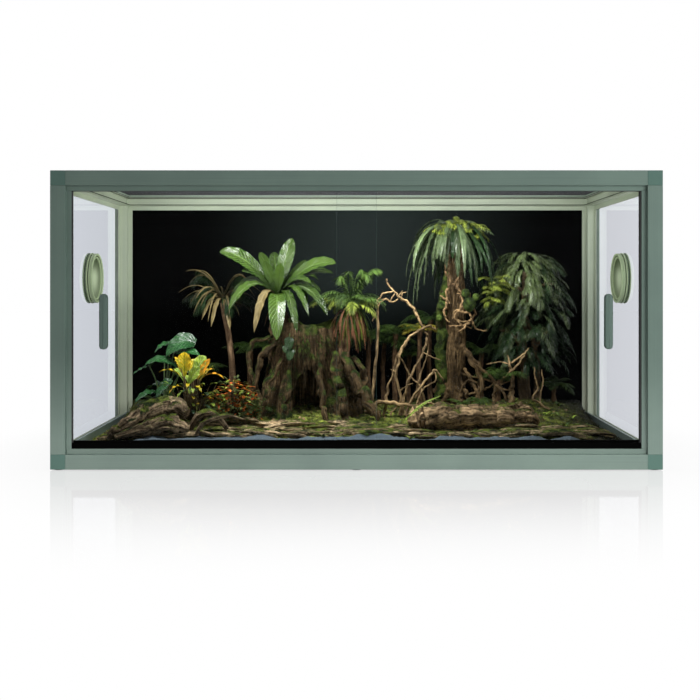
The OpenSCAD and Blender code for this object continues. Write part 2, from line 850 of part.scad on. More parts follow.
module small_palm_trunk() {
    color(bark_brown) planted()
        translate([palm_at[0], palm_at[1], palm_foot_z])
            rotate([0, -palm_lean, 0]) cylinder(h = palm_h, r = palm_r);
}

module small_palm_crown() {
    color([0.30, 0.36, 0.15])
        translate([palm_at[0] - palm_h * sin(palm_lean), palm_at[1],
                   palm_foot_z + palm_h * cos(palm_lean) + palm_r * sin(palm_lean)
                   + seat_gap + pole(12)])
            rosette(9, 84, 58, 92, 18, 12, 15, 2);
}

module broadleaf_plant() {
    color([0.10, 0.36, 0.18])
        translate([broadleaf_at[0], broadleaf_at[1], plant_z(broadleaf_at[1], 14)])
            rosette(8, 70, 118, 46, 30, 14, 20);
}

module croton_plant() {
    color([0.72, 0.55, 0.10])
        translate([croton_at[0], croton_at[1], plant_z(croton_at[1], 14)])
            rosette(12, 62, 112, 36, 22, 14, 5);
}

module red_bush() {
    color([0.60, 0.20, 0.10])
        translate([bush_at[0], bush_at[1], plant_z(bush_at[1], 12)])
            rosette(9, 46, 66, 26, 18, 12, 25);
}

// Tall dark plant at the right, drooping over its own stems
module weeping_foliage() {
    x = right_stem_at[0];
    y = right_stem_at[1];
    foot = ground(y);
    color([0.10, 0.24, 0.10]) planted() {
        limb([[x, y, foot], [x - 10, y, foot + 180], [x - 6, y - 6, foot + 330]], 14, 9, 8);
        limb([[x + 30, y + 10, foot], [x + 26, y, foot + 150], [x - 6, y, foot + 250]], 8, 6, 6);
        for (tier = [0 : 2])
            translate([x - 6, y - 6, foot + 340 - 62 * tier])
                rosette(8, 96 + 4 * tier, 26, 92, 32, 12, 22 * tier);
    }
}

// Small ferns behind the branches, on the stump's shoulder and beside the trunk
module small_ferns() {
    lobe = stump_lobes[0];
    color([0.16, 0.30, 0.12]) {
        for (fern = [[66, 170, 0.9], [128, 190, 0.7], [-392, 170, 0.8], [330, 40, 0.8]]) {
            at = spot(fern[0], fern[1]);
            translate([at[0], at[1], plant_z(at[1], 10)])
                rosette(8, 60 * fern[2], 190 * fern[2], 60 * fern[2], 15, 10, 12, 2);
        }
        translate([stump_at[0] + lobe[0], stump_at[1] + lobe[1],
                   soil_z + lobe[2] * (stump_top_z - soil_z) + seat_gap]) {
            cylinder(h = shoulder_stem + 6, r1 = 15, r2 = 10);
            translate([0, 0, shoulder_stem]) rosette(9, 60, 92, 48, 15, 12, 22);
        }
    }
}

width_rail(-1, -1);  // bottom_front_rail
width_rail(1, -1);  // bottom_rear_rail
depth_rail(-1, -1);  // bottom_left_rail
depth_rail(1, -1);  // bottom_right_rail
width_rail(-1, 1);  // top_front_rail
width_rail(1, 1);  // top_rear_rail
depth_rail(-1, 1);  // top_left_rail
depth_rail(1, 1);  // top_right_rail
post(-1, -1);  // front_left_post
post(1, -1);  // front_right_post
post(-1, 1);  // rear_left_post
post(1, 1);  // rear_right_post
corner_blocks();
frame_screws();
rubber_feet();
side_glass(-1);  // left_side_glass
side_glass(1);  // right_side_glass
rear_panel();
glazing_strips();
floor_panel();
base_tray();
lower_door_track();
upper_door_track();
door_jamb_seals();
door_glass(-1, outer_door_y);  // left_door_glass
door_handle(-1, outer_door_y);  // left_door_handle
handle_pad(-1, outer_door_y);  // left_handle_pad
door_glass(1, inner_door_y);  // right_door_glass
door_handle(1, inner_door_y);  // right_door_handle
handle_pad(1, inner_door_y);  // right_handle_pad
vent_sleeve(-1);  // left_vent_sleeve
vent_nut(-1);  // left_vent_nut
vent_cap(-1);  // left_vent_cap
vent_sleeve(1);  // right_vent_sleeve
vent_nut(1);  // right_vent_nut
vent_cap(1);  // right_vent_cap
vent_rubber_rings();
vent_mesh_discs();
lid_gasket();
lid_long_bars();
lid_short_bars();
lid_corner_keys();
lid_mesh();
lid_spline();
substrate_bed();
cork_stump();
front_log();
bark_pieces();
tall_trunk();
hanging_fern();
driftwood_branches();
birds_nest_fern();
small_palm_trunk();
small_palm_crown();
broadleaf_plant();
croton_plant();
red_bush();
weeping_foliage();
small_ferns();
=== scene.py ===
"""Looks of the planted terrarium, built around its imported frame.

The axes are the frame's own: +X right, +Y to the rear, +Z up. Objects, materials and lamps are
in metres; shapes are worked out in millimetres and scaled when their mesh is made.
"""
import json
import math
import random

import bmesh
import bpy
import numpy as np
from bpy.props import FloatProperty, FloatVectorProperty, IntProperty, PointerProperty
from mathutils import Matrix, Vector, noise

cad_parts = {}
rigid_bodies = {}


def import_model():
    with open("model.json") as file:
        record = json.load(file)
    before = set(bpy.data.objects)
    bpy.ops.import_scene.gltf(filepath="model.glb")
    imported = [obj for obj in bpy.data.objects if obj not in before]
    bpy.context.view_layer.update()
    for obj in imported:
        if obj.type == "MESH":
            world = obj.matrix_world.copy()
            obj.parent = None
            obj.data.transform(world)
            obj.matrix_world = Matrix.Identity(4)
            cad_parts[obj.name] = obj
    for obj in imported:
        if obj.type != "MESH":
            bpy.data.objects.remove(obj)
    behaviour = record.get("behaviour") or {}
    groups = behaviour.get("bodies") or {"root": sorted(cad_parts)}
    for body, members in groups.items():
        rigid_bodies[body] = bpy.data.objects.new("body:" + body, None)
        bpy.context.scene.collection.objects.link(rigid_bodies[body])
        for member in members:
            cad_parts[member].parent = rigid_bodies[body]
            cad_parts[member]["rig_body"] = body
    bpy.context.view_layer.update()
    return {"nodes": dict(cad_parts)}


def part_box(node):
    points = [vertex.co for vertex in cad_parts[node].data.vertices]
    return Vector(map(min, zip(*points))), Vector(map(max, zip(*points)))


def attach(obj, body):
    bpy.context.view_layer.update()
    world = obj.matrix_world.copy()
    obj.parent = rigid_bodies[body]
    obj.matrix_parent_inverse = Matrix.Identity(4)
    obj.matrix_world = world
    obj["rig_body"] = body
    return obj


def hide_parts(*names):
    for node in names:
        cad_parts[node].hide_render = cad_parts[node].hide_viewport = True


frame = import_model()

bl_info = {
    "name": "Planted terrarium looks",
    "version": (1, 0, 0),
    "blender": (4, 5, 0),
    "location": "View3D > Sidebar > Terrarium",
    "description": "Finishes, planting and stage of a planted glass terrarium",
    "category": "Object",
}

MM = 0.001
UP = np.array([0.0, 0.0, 1.0])
TOWARDS_FRONT = np.array([0.0, -1.0, 0.0])

# Places that everything else is worked out from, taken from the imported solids
TRAY_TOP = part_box("base_tray")[1].z
BED_LOW, BED_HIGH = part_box("substrate_bed")
FRAME_LOW, FRAME_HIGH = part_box("corner_blocks")
PANEL_LOW, PANEL_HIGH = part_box("rear_panel")
STUMP_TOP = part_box("cork_stump")[1].z / MM
TRUNK_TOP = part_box("tall_trunk")[1].z / MM
FRONT_MARGIN = BED_LOW.y + 31 * MM  # the bed stays bare in front of this

# Past these skins the tubes take the inner paint, painted light that stands in for the lamps
# inside
OUTER_SKIN = 5 * MM  # the frame keeps its outer paint this far in from each side
FRONT_SKIN = 14 * MM  # and this far in from the front
UNDER_LID = 0.556  # height of the lamps just under the lid


# ---------- Settings ----------


def colour_setting(name, description, default):
    """A colour that a user can change."""
    return FloatVectorProperty(name=name, description=description, subtype="COLOR", size=3,
                               default=default, min=0, max=1)


def length_setting(name, description, default, low, high):
    """A length that a user can change, given in millimetres."""
    return FloatProperty(name=name, description=description, unit="LENGTH",
                         default=default * MM, min=low * MM, max=high * MM)


def number_setting(name, description, default, high):
    """A number of things that a user can change."""
    return IntProperty(name=name, description=description, default=default, min=0, max=high)


class CabinetLook(bpy.types.PropertyGroup):
    """Finishes of the cabinet"""

    paint: colour_setting("Paint", "Powder coat of the tubes, outside", (0.135, 0.195, 0.165))
    # The inner paint is painted light: the same coat as outside, lightened where the lamps inside
    # fall
    inner_paint: colour_setting("Inner painted light", "Powder coat of the tubes, on the inside",
                                (0.46, 0.52, 0.39))
    block: colour_setting("Corner blocks", "Colour of the corner blocks", (0.060, 0.128, 0.102))
    vent: colour_setting("Vents", "Colour of the vents", (0.36, 0.45, 0.26))
    edge: length_setting("Edge radius", "Rounding of the tubes' edges", 0.6, 0.1, 2)
    mesh_pitch: length_setting("Mesh pitch", "Distance between the lid's wires", 2.6, 1.5, 8)
    wire: length_setting("Wire", "Thickness of the lid's wires", 0.75, 0.2, 1.2)


class PlantingLook(bpy.types.PropertyGroup):
    """Ground cover"""

    tufts: number_setting("Moss tufts", "Number of moss tufts on the ground", 8000, 14000)
    litter: number_setting("Leaf litter", "Number of fallen leaves", 1500, 4000)
    crumbs: number_setting("Soil crumbs", "Number of soil crumbs and pebbles", 1800, 4000)
    relief: length_setting("Ground relief", "Height of the ground's small hummocks", 7, 0, 15)


class StageLook(bpy.types.PropertyGroup):
    """Camera and lamps"""

    camera: FloatVectorProperty(
        name="Camera", description="Place of the camera", subtype="TRANSLATION", unit="LENGTH",
        size=3, default=(0.007, -2.45, 0.3725))
    lens: FloatProperty(
        name="Lens", description="Focal length of the camera in millimetres", default=55.56,
        min=20, max=200)
    key_power: FloatProperty(
        name="Key lamp", description="Power of the main soft lamp, in watts", default=26, min=0,
        max=500)
    inside_power: FloatProperty(
        name="Inside lamp", description="Power of the soft lamp under the lid, in watts",
        default=2.6, min=0, max=100)


# ---------- Node helpers ----------


class Value:
    """An output of a node; each operator used on it adds a Math node to its tree."""

    def __init__(self, socket):
        self.socket = socket
        self.tree = socket.id_data

    def maths(self, operation, other=0.0, swapped=False, clamp=False):
        """Math node on this value and another, or on the other and this one when swapped."""
        first, second = (other, self) if swapped else (self, other)
        return value_of(self.tree, "ShaderNodeMath", {0: first, 1: second},
                        operation=operation, use_clamp=clamp)

    def __add__(self, other):
        return self.maths("ADD", other)

    def __sub__(self, other):
        return self.maths("SUBTRACT", other)

    def __rsub__(self, other):
        return self.maths("SUBTRACT", other, swapped=True)

    def __mul__(self, other):
        return self.maths("MULTIPLY", other)

    def __truediv__(self, other):
        return self.maths("DIVIDE", other)


def fill(node, inputs):
    """Links a node's inputs to values, or sets them to plain numbers and colours."""
    for key, value in inputs.items():
        socket = node.inputs[key]
        if isinstance(value, Value):
            value.tree.links.new(value.socket, socket)
        else:
            socket.default_value = (*value, 1) if socket.type == "RGBA" else value


def add(tree, kind, inputs=None, **settings):
    """Adds a node, sets its options and fills its inputs."""
    node = tree.nodes.new(kind)
    for key, value in settings.items():
        setattr(node, key, value)
    fill(node, inputs or {})
    return node


def value_of(tree, kind, inputs=None, output=0, **settings):
    """An output of an added node."""
    return Value(add(tree, kind, inputs, **settings).outputs[output])


def blended(tree, factor, first, second, kind="MIX"):
    """Two colours, mixed."""
    return value_of(tree, "ShaderNodeMix", {0: factor, 6: first, 7: second}, 2,
                    data_type="RGBA", blend_type=kind)


def ramp(value, low, high, to_low=0.0, to_high=1.0):
    """Value moved from the range low to high into the range to_low to to_high, smoothly."""
    return value_of(value.tree, "ShaderNodeMapRange",
                    {0: value, 1: low, 2: high, 3: to_low, 4: to_high},
                    interpolation_type="SMOOTHSTEP")


def noise_of(vector, scale, detail=3.0, rough=0.55):
    """Value of a Noise texture."""
    return value_of(vector.tree, "ShaderNodeTexNoise",
                    {"Vector": vector, "Scale": scale, "Detail": detail, "Roughness": rough})


def axes_of(vector):
    """The three numbers of a vector."""
    return [Value(socket)
            for socket in add(vector.tree, "ShaderNodeSeparateXYZ", {0: vector}).outputs]


def vector_of(tree, numbers):
    """A vector made of numbers, by the index of their axis."""
    return value_of(tree, "ShaderNodeCombineXYZ", numbers)


def object_place(tree, scale=(1, 1, 1)):
    """Object coordinates, stretched."""
    place = value_of(tree, "ShaderNodeTexCoord", output="Object")
    return value_of(tree, "ShaderNodeMapping", {"Vector": place, "Scale": scale})


def leaf_map(tree):
    """Place along and across a leaf or a limb, from its own map."""
    return axes_of(value_of(tree, "ShaderNodeUVMap", uv_map="leaf"))


def tone_of(tree):
    """The tone that each leaf or crumb has of its own."""
    return value_of(tree, "ShaderNodeAttribute", output="Fac", attribute_name="tone")


def bumped(height, depth=0.5 * MM, strength=1.0):
    """Normal of a surface with a fine relief."""
    return value_of(height.tree, "ShaderNodeBump",
                    {"Height": height, "Distance": depth, "Strength": strength})


def group_tree(name, inputs, outputs):
    """A shader node group, whose inputs are numbers, or vectors where they have no default."""
    tree = bpy.data.node_groups.new(name, "ShaderNodeTree")
    for socket_name, default in inputs.items():
        kind = "NodeSocketVector" if default is None else "NodeSocketFloat"
        socket = tree.interface.new_socket(socket_name, in_out="INPUT", socket_type=kind)
        if default is not None:
            socket.default_value = default
    for socket_name in outputs:
        tree.interface.new_socket(socket_name, in_out="OUTPUT", socket_type="NodeSocketFloat")
    return tree, named_values(add(tree, "NodeGroupInput")), add(tree, "NodeGroupOutput")


def named_values(node):
    """Outputs of a node by their names."""
    return {socket.name: Value(socket) for socket in node.outputs if socket.name}


def use_group(tree, group, **inputs):
    """Outputs of a placed node group; underscores stand for the spaces in its inputs' names."""
    node = add(tree, "ShaderNodeGroup", node_tree=group())
    fill(node, {key.replace("_", " "): value for key, value in inputs.items()})
    return named_values(node)


def built_once(make):
    """Keeps what a function built the first time, such as a material or a node group."""
    made = {}

    def kept(*values):
        if values not in made:
            made[values] = make(*values)
        return made[values]

    kept.__name__ = make.__name__
    return kept


def start_material(name):
    """A new material, its node tree and its Principled node."""
    material = bpy.data.materials.new(name)
    material.use_nodes = True
    return material, material.node_tree, material.node_tree.nodes["Principled BSDF"]


def show_surface(tree, shader):
    """Puts a shader on a material's output."""
    fill(tree.nodes["Material Output"], {"Surface": shader})


# ---------- Shader groups ----------


@built_once
def coat_grain():
    """Powder coat: fine orange peel, faint drawing lines along a tube and cloudy tone."""
    tree, given, outs = group_tree("Coat grain", {"Place": None, "Lines": None,
                                                  "Line depth": 0.3}, ("Tone", "Height"))
    peel = noise_of(given["Place"], 900, 2)
    cloud = noise_of(given["Place"], 7, 3)
    lines = noise_of(given["Lines"], 1, 2)
    fill(outs, {"Tone": cloud * 0.6 + lines * 0.4,
                "Height": peel * 0.5 + lines * given["Line depth"]})
    return tree


@built_once
def leaf_surface():
    """Leaf: midrib, slanted side veins, uneven tone and painted shade towards its base, from the
    leaf's own map.
    """
    tree, given, outs = group_tree("Leaf surface", {"Veins": 12.0, "Slant": 1.5},
                                   ("Rib", "Vein", "Mottle", "Edge", "Tone", "Base"))
    along, aside, _ = leaf_map(tree)
    across = (aside - 0.5).maths("ABSOLUTE")
    slanted = along - across * (given["Slant"] * 0.3)
    wave = (slanted * (given["Veins"] * math.tau)).maths("SINE")
    fill(outs, {"Rib": ramp(across, 0.0, 0.05, 1.0, 0.0), "Vein": ramp(wave, 0.55, 1.0),
                "Mottle": ramp(noise_of(object_place(tree), 70, 5, 0.65), 0.34, 0.66),
                "Edge": ramp(across, 0.36, 0.5), "Tone": tone_of(tree),
                "Base": ramp(along, 0.0, 0.6, 1.0, 0.0)})
    return tree


@built_once
def bark_relief():
    """Bark: long fibres and plates in the limb's own map, with fine crumbly noise."""
    tree, given, outs = group_tree("Bark relief", {"Fibres": 26.0, "Length": 1.6},
                                   ("Height", "Tone"))
    along, across, _ = leaf_map(tree)
    stretched = vector_of(tree, {0: along * given["Length"], 1: across * given["Fibres"]})
    fibres = noise_of(stretched, 1.0, 6, 0.62)
    crumbs = noise_of(object_place(tree), 160, 4, 0.6)
    patches = noise_of(object_place(tree), 24, 3, 0.5)
    fine = ramp(fibres, 0.38, 0.64) * 0.62 + ramp(crumbs, 0.35, 0.68) * 0.38
    fill(outs, {"Height": fibres * 0.75 + crumbs * 0.25,
                "Tone": fine * ramp(patches, 0.32, 0.62, 0.35, 1.1)})
    return tree


@built_once
def moss_cover():
    """Where moss grows: on faces that look up, in ragged patches."""
    tree, given, outs = group_tree("Moss cover", {"Amount": 0.5, "Patch size": 14.0},
                                   ("Mask", "Height", "Tone"))
    upward = axes_of(value_of(tree, "ShaderNodeNewGeometry", output="Normal"))[2]
    place = object_place(tree)
    level = upward * 0.28 + noise_of(place, given["Patch size"], 8, 0.72)
    start = 1.0 - given["Amount"] * 0.75
    fill(outs, {"Mask": ramp(level, start, start + 0.13), "Height": noise_of(place, 420, 3, 0.7),
                "Tone": noise_of(place, 60, 4, 0.6)})
    return tree


# ---------- Materials ----------


@built_once
def powder_coat(axis):
    """Satin green coat; the sides that look into the cabinet take a lighter olive, painted light
    that stands in for the lamps inside.
    """
    look = bpy.context.scene.cabinet_look
    material, tree, shader = start_material(f"powder coat {'xyz'[axis]}")
    place = object_place(tree)
    stretch = tuple(3 if index == axis else 450 for index in range(3))  # long along the tube
    grain = use_group(tree, coat_grain, Place=place, Lines=object_place(tree, stretch))
    # painted light: the faces inside the cabinet get the lighter inner colour
    colour = blended(tree, inside_mask(place), look.paint, look.inner_paint)
    shade = blended(tree, ramp(grain["Tone"], 0.25, 0.75), (0.86, 0.87, 0.88), (1.12, 1.12, 1.10))
    fill(shader, {"Base Color": blended(tree, 1.0, colour, shade, "MULTIPLY"),
                  "Roughness": ramp(grain["Tone"], 0.2, 0.8, 0.36, 0.46),
                  "Normal": bumped(grain["Height"], 0.05 * MM, 0.5),
                  "Specular IOR Level": 0.4})
    return material


def inside_mask(place):
    """One on the faces that look into the cabinet, where the inner paint paints light; zero on its
    outer skin.
    """
    low = FRAME_LOW + Vector((OUTER_SKIN, FRONT_SKIN, OUTER_SKIN))
    high = FRAME_HIGH - Vector((OUTER_SKIN, OUTER_SKIN, OUTER_SKIN))
    masks = [ramp(along, low[axis] - 1 * MM, low[axis])
             * ramp(along, high[axis], high[axis] + 1 * MM, 1.0, 0.0)
             for axis, along in enumerate(axes_of(place))]
    return masks[0] * masks[1] * masks[2]


@built_once
def moulded(name, colour, rough, coat, speckle, shine=0.5):
    """Moulded plastic or rubber with a faint texture."""
    material, tree, shader = start_material(name)
    place = object_place(tree)
    fine = noise_of(place, 1400, 2)
    cloud = noise_of(place, 18, 4)
    fill(shader, {"Base Color": blended(tree, cloud, [c * (1 - speckle) for c in colour],
                                        [min(1, c * (1 + speckle)) for c in colour]),
                  "Roughness": ramp(cloud, 0.3, 0.7, rough * 0.9, rough * 1.1),
                  "Normal": bumped(fine, 0.04 * MM, 0.5), "Specular IOR Level": shine,
                  "Coat Weight": coat, "Coat Roughness": 0.25})
    return material


@built_once
def dish_plastic(y, z, radius):
    """Hollow dish of a vent cap, with painted shade: darker towards its rim and under its upper
    edge.
    """
    material, tree, shader = start_material("vent dish")
    _, along, up = axes_of(object_place(tree))
    across, above = along - y, up - z
    out = (across.maths("POWER", 2.0) + above.maths("POWER", 2.0)).maths("SQRT")
    # painted shade: darker out towards the rim and above the middle, where the rim's shadow falls
    light = (ramp(out, 0.1 * radius, 0.8 * radius, 1.0, 0.25)
             * ramp(above, 0.1 * radius, 0.75 * radius, 1.0, 0.3))
    fill(shader, {"Base Color": blended(tree, light, (0.035, 0.055, 0.018),
                                        (0.46, 0.55, 0.36)), "Roughness": 0.4})
    return material


@built_once
def grained(name, scale, detail, dark, light, smooth, rough, depth, metallic):
    """Metal or ground glass with an even, fine grain."""
    material, tree, shader = start_material(name)
    grain = noise_of(object_place(tree), scale, detail)
    fill(shader, {"Base Color": blended(tree, grain, dark, light),
                  "Roughness": ramp(grain, 0.3, 0.7, smooth, rough),
                  "Normal": bumped(grain, depth * MM, 0.4), "Metallic": metallic})
    return material


def zinc():
    """Zinc plated screw steel."""
    return grained("zinc plate", 600, 3, (0.42, 0.44, 0.43), (0.6, 0.61, 0.6), 0.28, 0.42, 0.03,
                   1.0)


def wire_black():
    """Dark coated wire of the lid and the vents."""
    return grained("coated wire", 700, 2, (0.06, 0.06, 0.065), (0.12, 0.12, 0.13), 0.4, 0.55,
                   0.05, 0.6)


def glass_edge():
    """Ground edge of the glass, deep sea green."""
    return grained("ground glass edge", 800, 2, (0.02, 0.05, 0.042), (0.035, 0.08, 0.065), 0.25,
                   0.45, 0.05, 0.0)


@built_once
def clear_glass(ior, tint=(0.985, 0.99, 0.995)):
    """Clear sheet glass: straight through, and a mirror that grows towards a glancing view."""
    material, tree, shader = start_material(f"clear glass {ior}")
    smear = noise_of(object_place(tree), 9, 3)
    fill(shader, {"Base Color": (0.9, 0.95, 1.0), "Metallic": 1.0,
                  "Roughness": ramp(smear, 0.35, 0.75, 0.02, 0.06)})
    front = 1.0 - value_of(tree, "ShaderNodeNewGeometry", output="Backfacing")
    mirror = value_of(tree, "ShaderNodeFresnel", {"IOR": ior})
    through = value_of(tree, "ShaderNodeBsdfTransparent", {"Color": tint})
    show_surface(tree, value_of(tree, "ShaderNodeMixShader", {
        0: mirror * front, 1: through, 2: Value(shader.outputs[0])}))
    return material


@built_once
def rear_sheet():
    """Black rear sheet: dull inside, with a painted reflection as a greenish glow behind the
    middle and towards the top; satin outside.
    """
    material, tree, shader = start_material("rear sheet")
    place = value_of(tree, "ShaderNodeTexCoord", output="Object")
    along, back, up = axes_of(place)
    middle = ramp((along - 40 * MM).maths("ABSOLUTE"), 0.0, 0.46, 1.0, 0.0)
    grain = noise_of(place, 500, 2)
    outer = back.maths("GREATER_THAN", (PANEL_LOW.y + PANEL_HIGH.y) / 2)
    # painted reflection: a faint greenish glow behind the middle, rising towards the top
    inner_painted_glow = blended(tree, middle * ramp(up, 0.12, 0.42), (0.0008, 0.0008, 0.0008),
                           (0.016, 0.0215, 0.0198))
    fill(shader, {"Base Color": blended(tree, outer, inner_painted_glow, (0.010, 0.0105, 0.0105)),
                  "Roughness": ramp(grain, 0.3, 0.7, 0.55, 0.7),
                  "Normal": bumped(grain, 0.05 * MM, 0.4),
                  "Specular IOR Level": ramp(outer, 0.0, 1.0, 0.02, 0.4)})
    return material


def dimmed(tree, colour):
    """A colour with painted shade: darker towards the far right and the rear of the ground."""
    along, back, _ = axes_of(object_place(tree))
    # painted shade: the light falls off towards the far right and the rear
    light = ramp(along, 0.36, 0.54, 1.0, 0.12) * ramp(back, 0.0, 0.24, 1.0, 0.3)
    return blended(tree, light, (0.003, 0.003, 0.002), colour)


BARKS = {  # dark, light, amount of moss, fibres round the limb, and the colour of fresh moss
    "mossy cork": ((0.006, 0.0045, 0.002), (0.16, 0.105, 0.05), 0.6, 26, (0.055, 0.08, 0.012)),
    "fibrous bark": ((0.009, 0.0055, 0.0024), (0.185, 0.12, 0.053), 0.05, 42),
    "mossy bark": ((0.01, 0.008, 0.004), (0.08, 0.06, 0.03), 0.9, 26, (0.055, 0.08, 0.012)),
    "vine bark": ((0.03, 0.017, 0.008), (0.40, 0.26, 0.12), 0.0, 20),
    "ball moss": ((0.01, 0.02, 0.005), (0.06, 0.10, 0.02), 1.1, 20, (0.07, 0.11, 0.02)),
    "bare wood": ((0.03, 0.019, 0.010), (0.50, 0.345, 0.165), 0.0, 16),
    "weathered log": ((0.014, 0.009, 0.005), (0.64, 0.44, 0.23), 0.46, 14),
    "old bark": ((0.014, 0.009, 0.005), (0.64, 0.47, 0.28), 0.5, 18),
    "flake bark": ((0.008, 0.006, 0.003), (0.90, 0.67, 0.38), 0.47, 22),
    "fern root": ((0.02, 0.013, 0.007), (0.16, 0.10, 0.05), 0.3, 30),
    "palm bark": ((0.07, 0.04, 0.022), (0.36, 0.23, 0.13), 0.1, 12),
    "croton stem": ((0.03, 0.022, 0.010), (0.30, 0.23, 0.11), 0.1, 16),
    "twig bark": ((0.04, 0.022, 0.012), (0.22, 0.13, 0.07), 0.0, 16),
    "crown fibre": ((0.03, 0.02, 0.01), (0.2, 0.14, 0.07), 0.5, 26),
    "dark stem": ((0.02, 0.014, 0.008), (0.16, 0.11, 0.06), 0.35, 20),
    "fern stem": ((0.03, 0.018, 0.01), (0.2, 0.12, 0.06), 0.3, 24),
}
LEAVES = {  # dark, light, rib, margin, roughness, veins, slant of the veins, then if they
    # differ from USUAL_LEAF: the share of the mottle and of the veins, shine, and painted shade at
    # the base
    "nest fern leaf": ((0.0018, 0.007, 0.001), (0.028, 0.057, 0.003), (0.12, 0.20, 0.05),
                       (0.012, 0.04, 0.004), 0.17, 16, 1.0, 0.45, 0.5, 0.36, 0.75),
    "fern leaf": ((0.008, 0.024, 0.004), (0.085, 0.15, 0.024), (0.11, 0.17, 0.05),
                  (0.06, 0.11, 0.02), 0.38, 6, 1.0),
    "drooping fern leaf": ((0.006, 0.016, 0.005), (0.078, 0.108, 0.045), (0.15, 0.21, 0.10),
                           (0.04, 0.07, 0.025), 0.3, 7, 1.0, 0.3, 0.2, 0.26, 0.5),
    "olive fern leaf": ((0.005, 0.013, 0.003), (0.115, 0.16, 0.055), (0.18, 0.22, 0.09),
                        (0.04, 0.07, 0.02), 0.26, 6, 1.0, 0.3, 0.2, 0.36, 0.4),
    "dark leaf": ((0.002, 0.009, 0.002), (0.026, 0.056, 0.017), (0.05, 0.09, 0.035),
                  (0.014, 0.036, 0.010), 0.30, 7, 1.0),
    "dry leaf": ((0.024, 0.016, 0.006), (0.195, 0.15, 0.058), (0.30, 0.24, 0.11),
                 (0.15, 0.11, 0.04), 0.5, 5, 0.5),
    "rusty frond": ((0.05, 0.018, 0.008), (0.36, 0.15, 0.07), (0.36, 0.18, 0.08),
                    (0.22, 0.08, 0.03), 0.5, 5, 0.5),
    "young leaf": ((0.05, 0.085, 0.006), (0.30, 0.36, 0.05), (0.34, 0.38, 0.09),
                   (0.17, 0.22, 0.025), 0.34, 6, 1.0),
    "golden leaf": ((0.16, 0.13, 0.01), (0.42, 0.34, 0.03), (0.45, 0.4, 0.08),
                    (0.25, 0.2, 0.02), 0.4, 5, 1.0),
    "seedling leaf": ((0.12, 0.22, 0.02), (0.34, 0.48, 0.07), (0.4, 0.5, 0.12),
                      (0.2, 0.3, 0.03), 0.38, 4, 1.0),
    "broad leaf": ((0.002, 0.018, 0.004), (0.017, 0.115, 0.02), (0.06, 0.17, 0.05),
                   (0.008, 0.04, 0.010), 0.22, 6, 2.5, 0.4, 0.4, 0.4),
    "leaf stalk": ((0.05, 0.10, 0.03), (0.12, 0.18, 0.06), (0.14, 0.2, 0.08),
                   (0.08, 0.14, 0.04), 0.4, 3, 1.0),
    "yellow leaf": ((0.09, 0.17, 0.01), (0.82, 0.50, 0.015), (0.14, 0.22, 0.02),
                    (0.62, 0.36, 0.01), 0.26, 7, 2.0, 0.7, 0.55),
    "orange leaf": ((0.16, 0.20, 0.015), (0.80, 0.27, 0.012), (0.40, 0.34, 0.04),
                    (0.30, 0.24, 0.02), 0.3, 7, 2.0, 0.6, 0.5),
    "lime leaf": ((0.05, 0.14, 0.008), (0.38, 0.50, 0.045), (0.55, 0.62, 0.25),
                  (0.5, 0.52, 0.12), 0.26, 7, 2.0, 0.6, 0.4),
    "red leaf": ((0.34, 0.03, 0.008), (0.95, 0.26, 0.03), (0.7, 0.3, 0.08),
                 (0.5, 0.1, 0.02), 0.34, 3, 1.0),
    "olive leaf": ((0.010, 0.020, 0.004), (0.10, 0.13, 0.03), (0.16, 0.18, 0.06),
                   (0.06, 0.07, 0.01), 0.42, 3, 1.0),
    "lime tip": ((0.16, 0.26, 0.02), (0.50, 0.60, 0.12), (0.5, 0.6, 0.15),
                 (0.34, 0.40, 0.06), 0.36, 3, 1.0),
}
USUAL_LEAF = (0.3, 0.2, 0.22, 0.6)


@built_once
def bark(name):
    """Rough bark with moss in ragged patches on its upper sides."""
    dark, light, moss, fibres, *fresh = BARKS[name]
    material, tree, shader = start_material(name)
    relief = use_group(tree, bark_relief, Fibres=fibres)
    growth = use_group(tree, moss_cover, Amount=moss)
    wood = blended(tree, relief["Tone"], dark, light)
    green = blended(tree, ramp(growth["Tone"], 0.4, 0.62), (0.010, 0.018, 0.003),
                    fresh[0] if fresh else (0.125, 0.16, 0.024))
    height = relief["Height"] + growth["Mask"] * growth["Height"]
    fill(shader, {"Base Color": blended(tree, growth["Mask"], wood, green),
                  "Normal": bumped(height, 7 * MM), "Roughness": 0.85,
                  "Specular IOR Level": 0.12})
    return material


@built_once
def leaf(name):
    """Leaf skin: tone differs from leaf to leaf, the rib is paler, the margin tinted and the base
    darker with painted shade.
    """
    dark, light, rib, margin, rough, veins, slant, *rest = LEAVES[name]
    patch, veined, shine, shaded = (*rest, *USUAL_LEAF[len(rest):])
    material, tree, shader = start_material(name)
    skin = use_group(tree, leaf_surface, Veins=veins, Slant=slant)
    level = (skin["Tone"] * (1.05 - patch)).maths("ADD", skin["Mottle"] * patch, clamp=True)
    colour = blended(tree, level, dark, light)
    # painted shade: Base darkens each leaf towards its foot
    for part, share, tint in (("Edge", 0.55, margin), ("Vein", veined, rib), ("Rib", 0.65, rib),
                              ("Base", shaded, dark)):
        colour = blended(tree, skin[part] * share, colour, tint)
    height = skin["Mottle"] * 0.3 - (skin["Vein"] * 0.6 + skin["Rib"])
    fill(shader, {"Base Color": colour,
                  "Roughness": ramp(skin["Mottle"], 0.0, 1.0, rough * 0.8, rough * 1.3),
                  "Normal": bumped(height, 1.5 * MM, 0.9), "Specular IOR Level": shine})
    return material


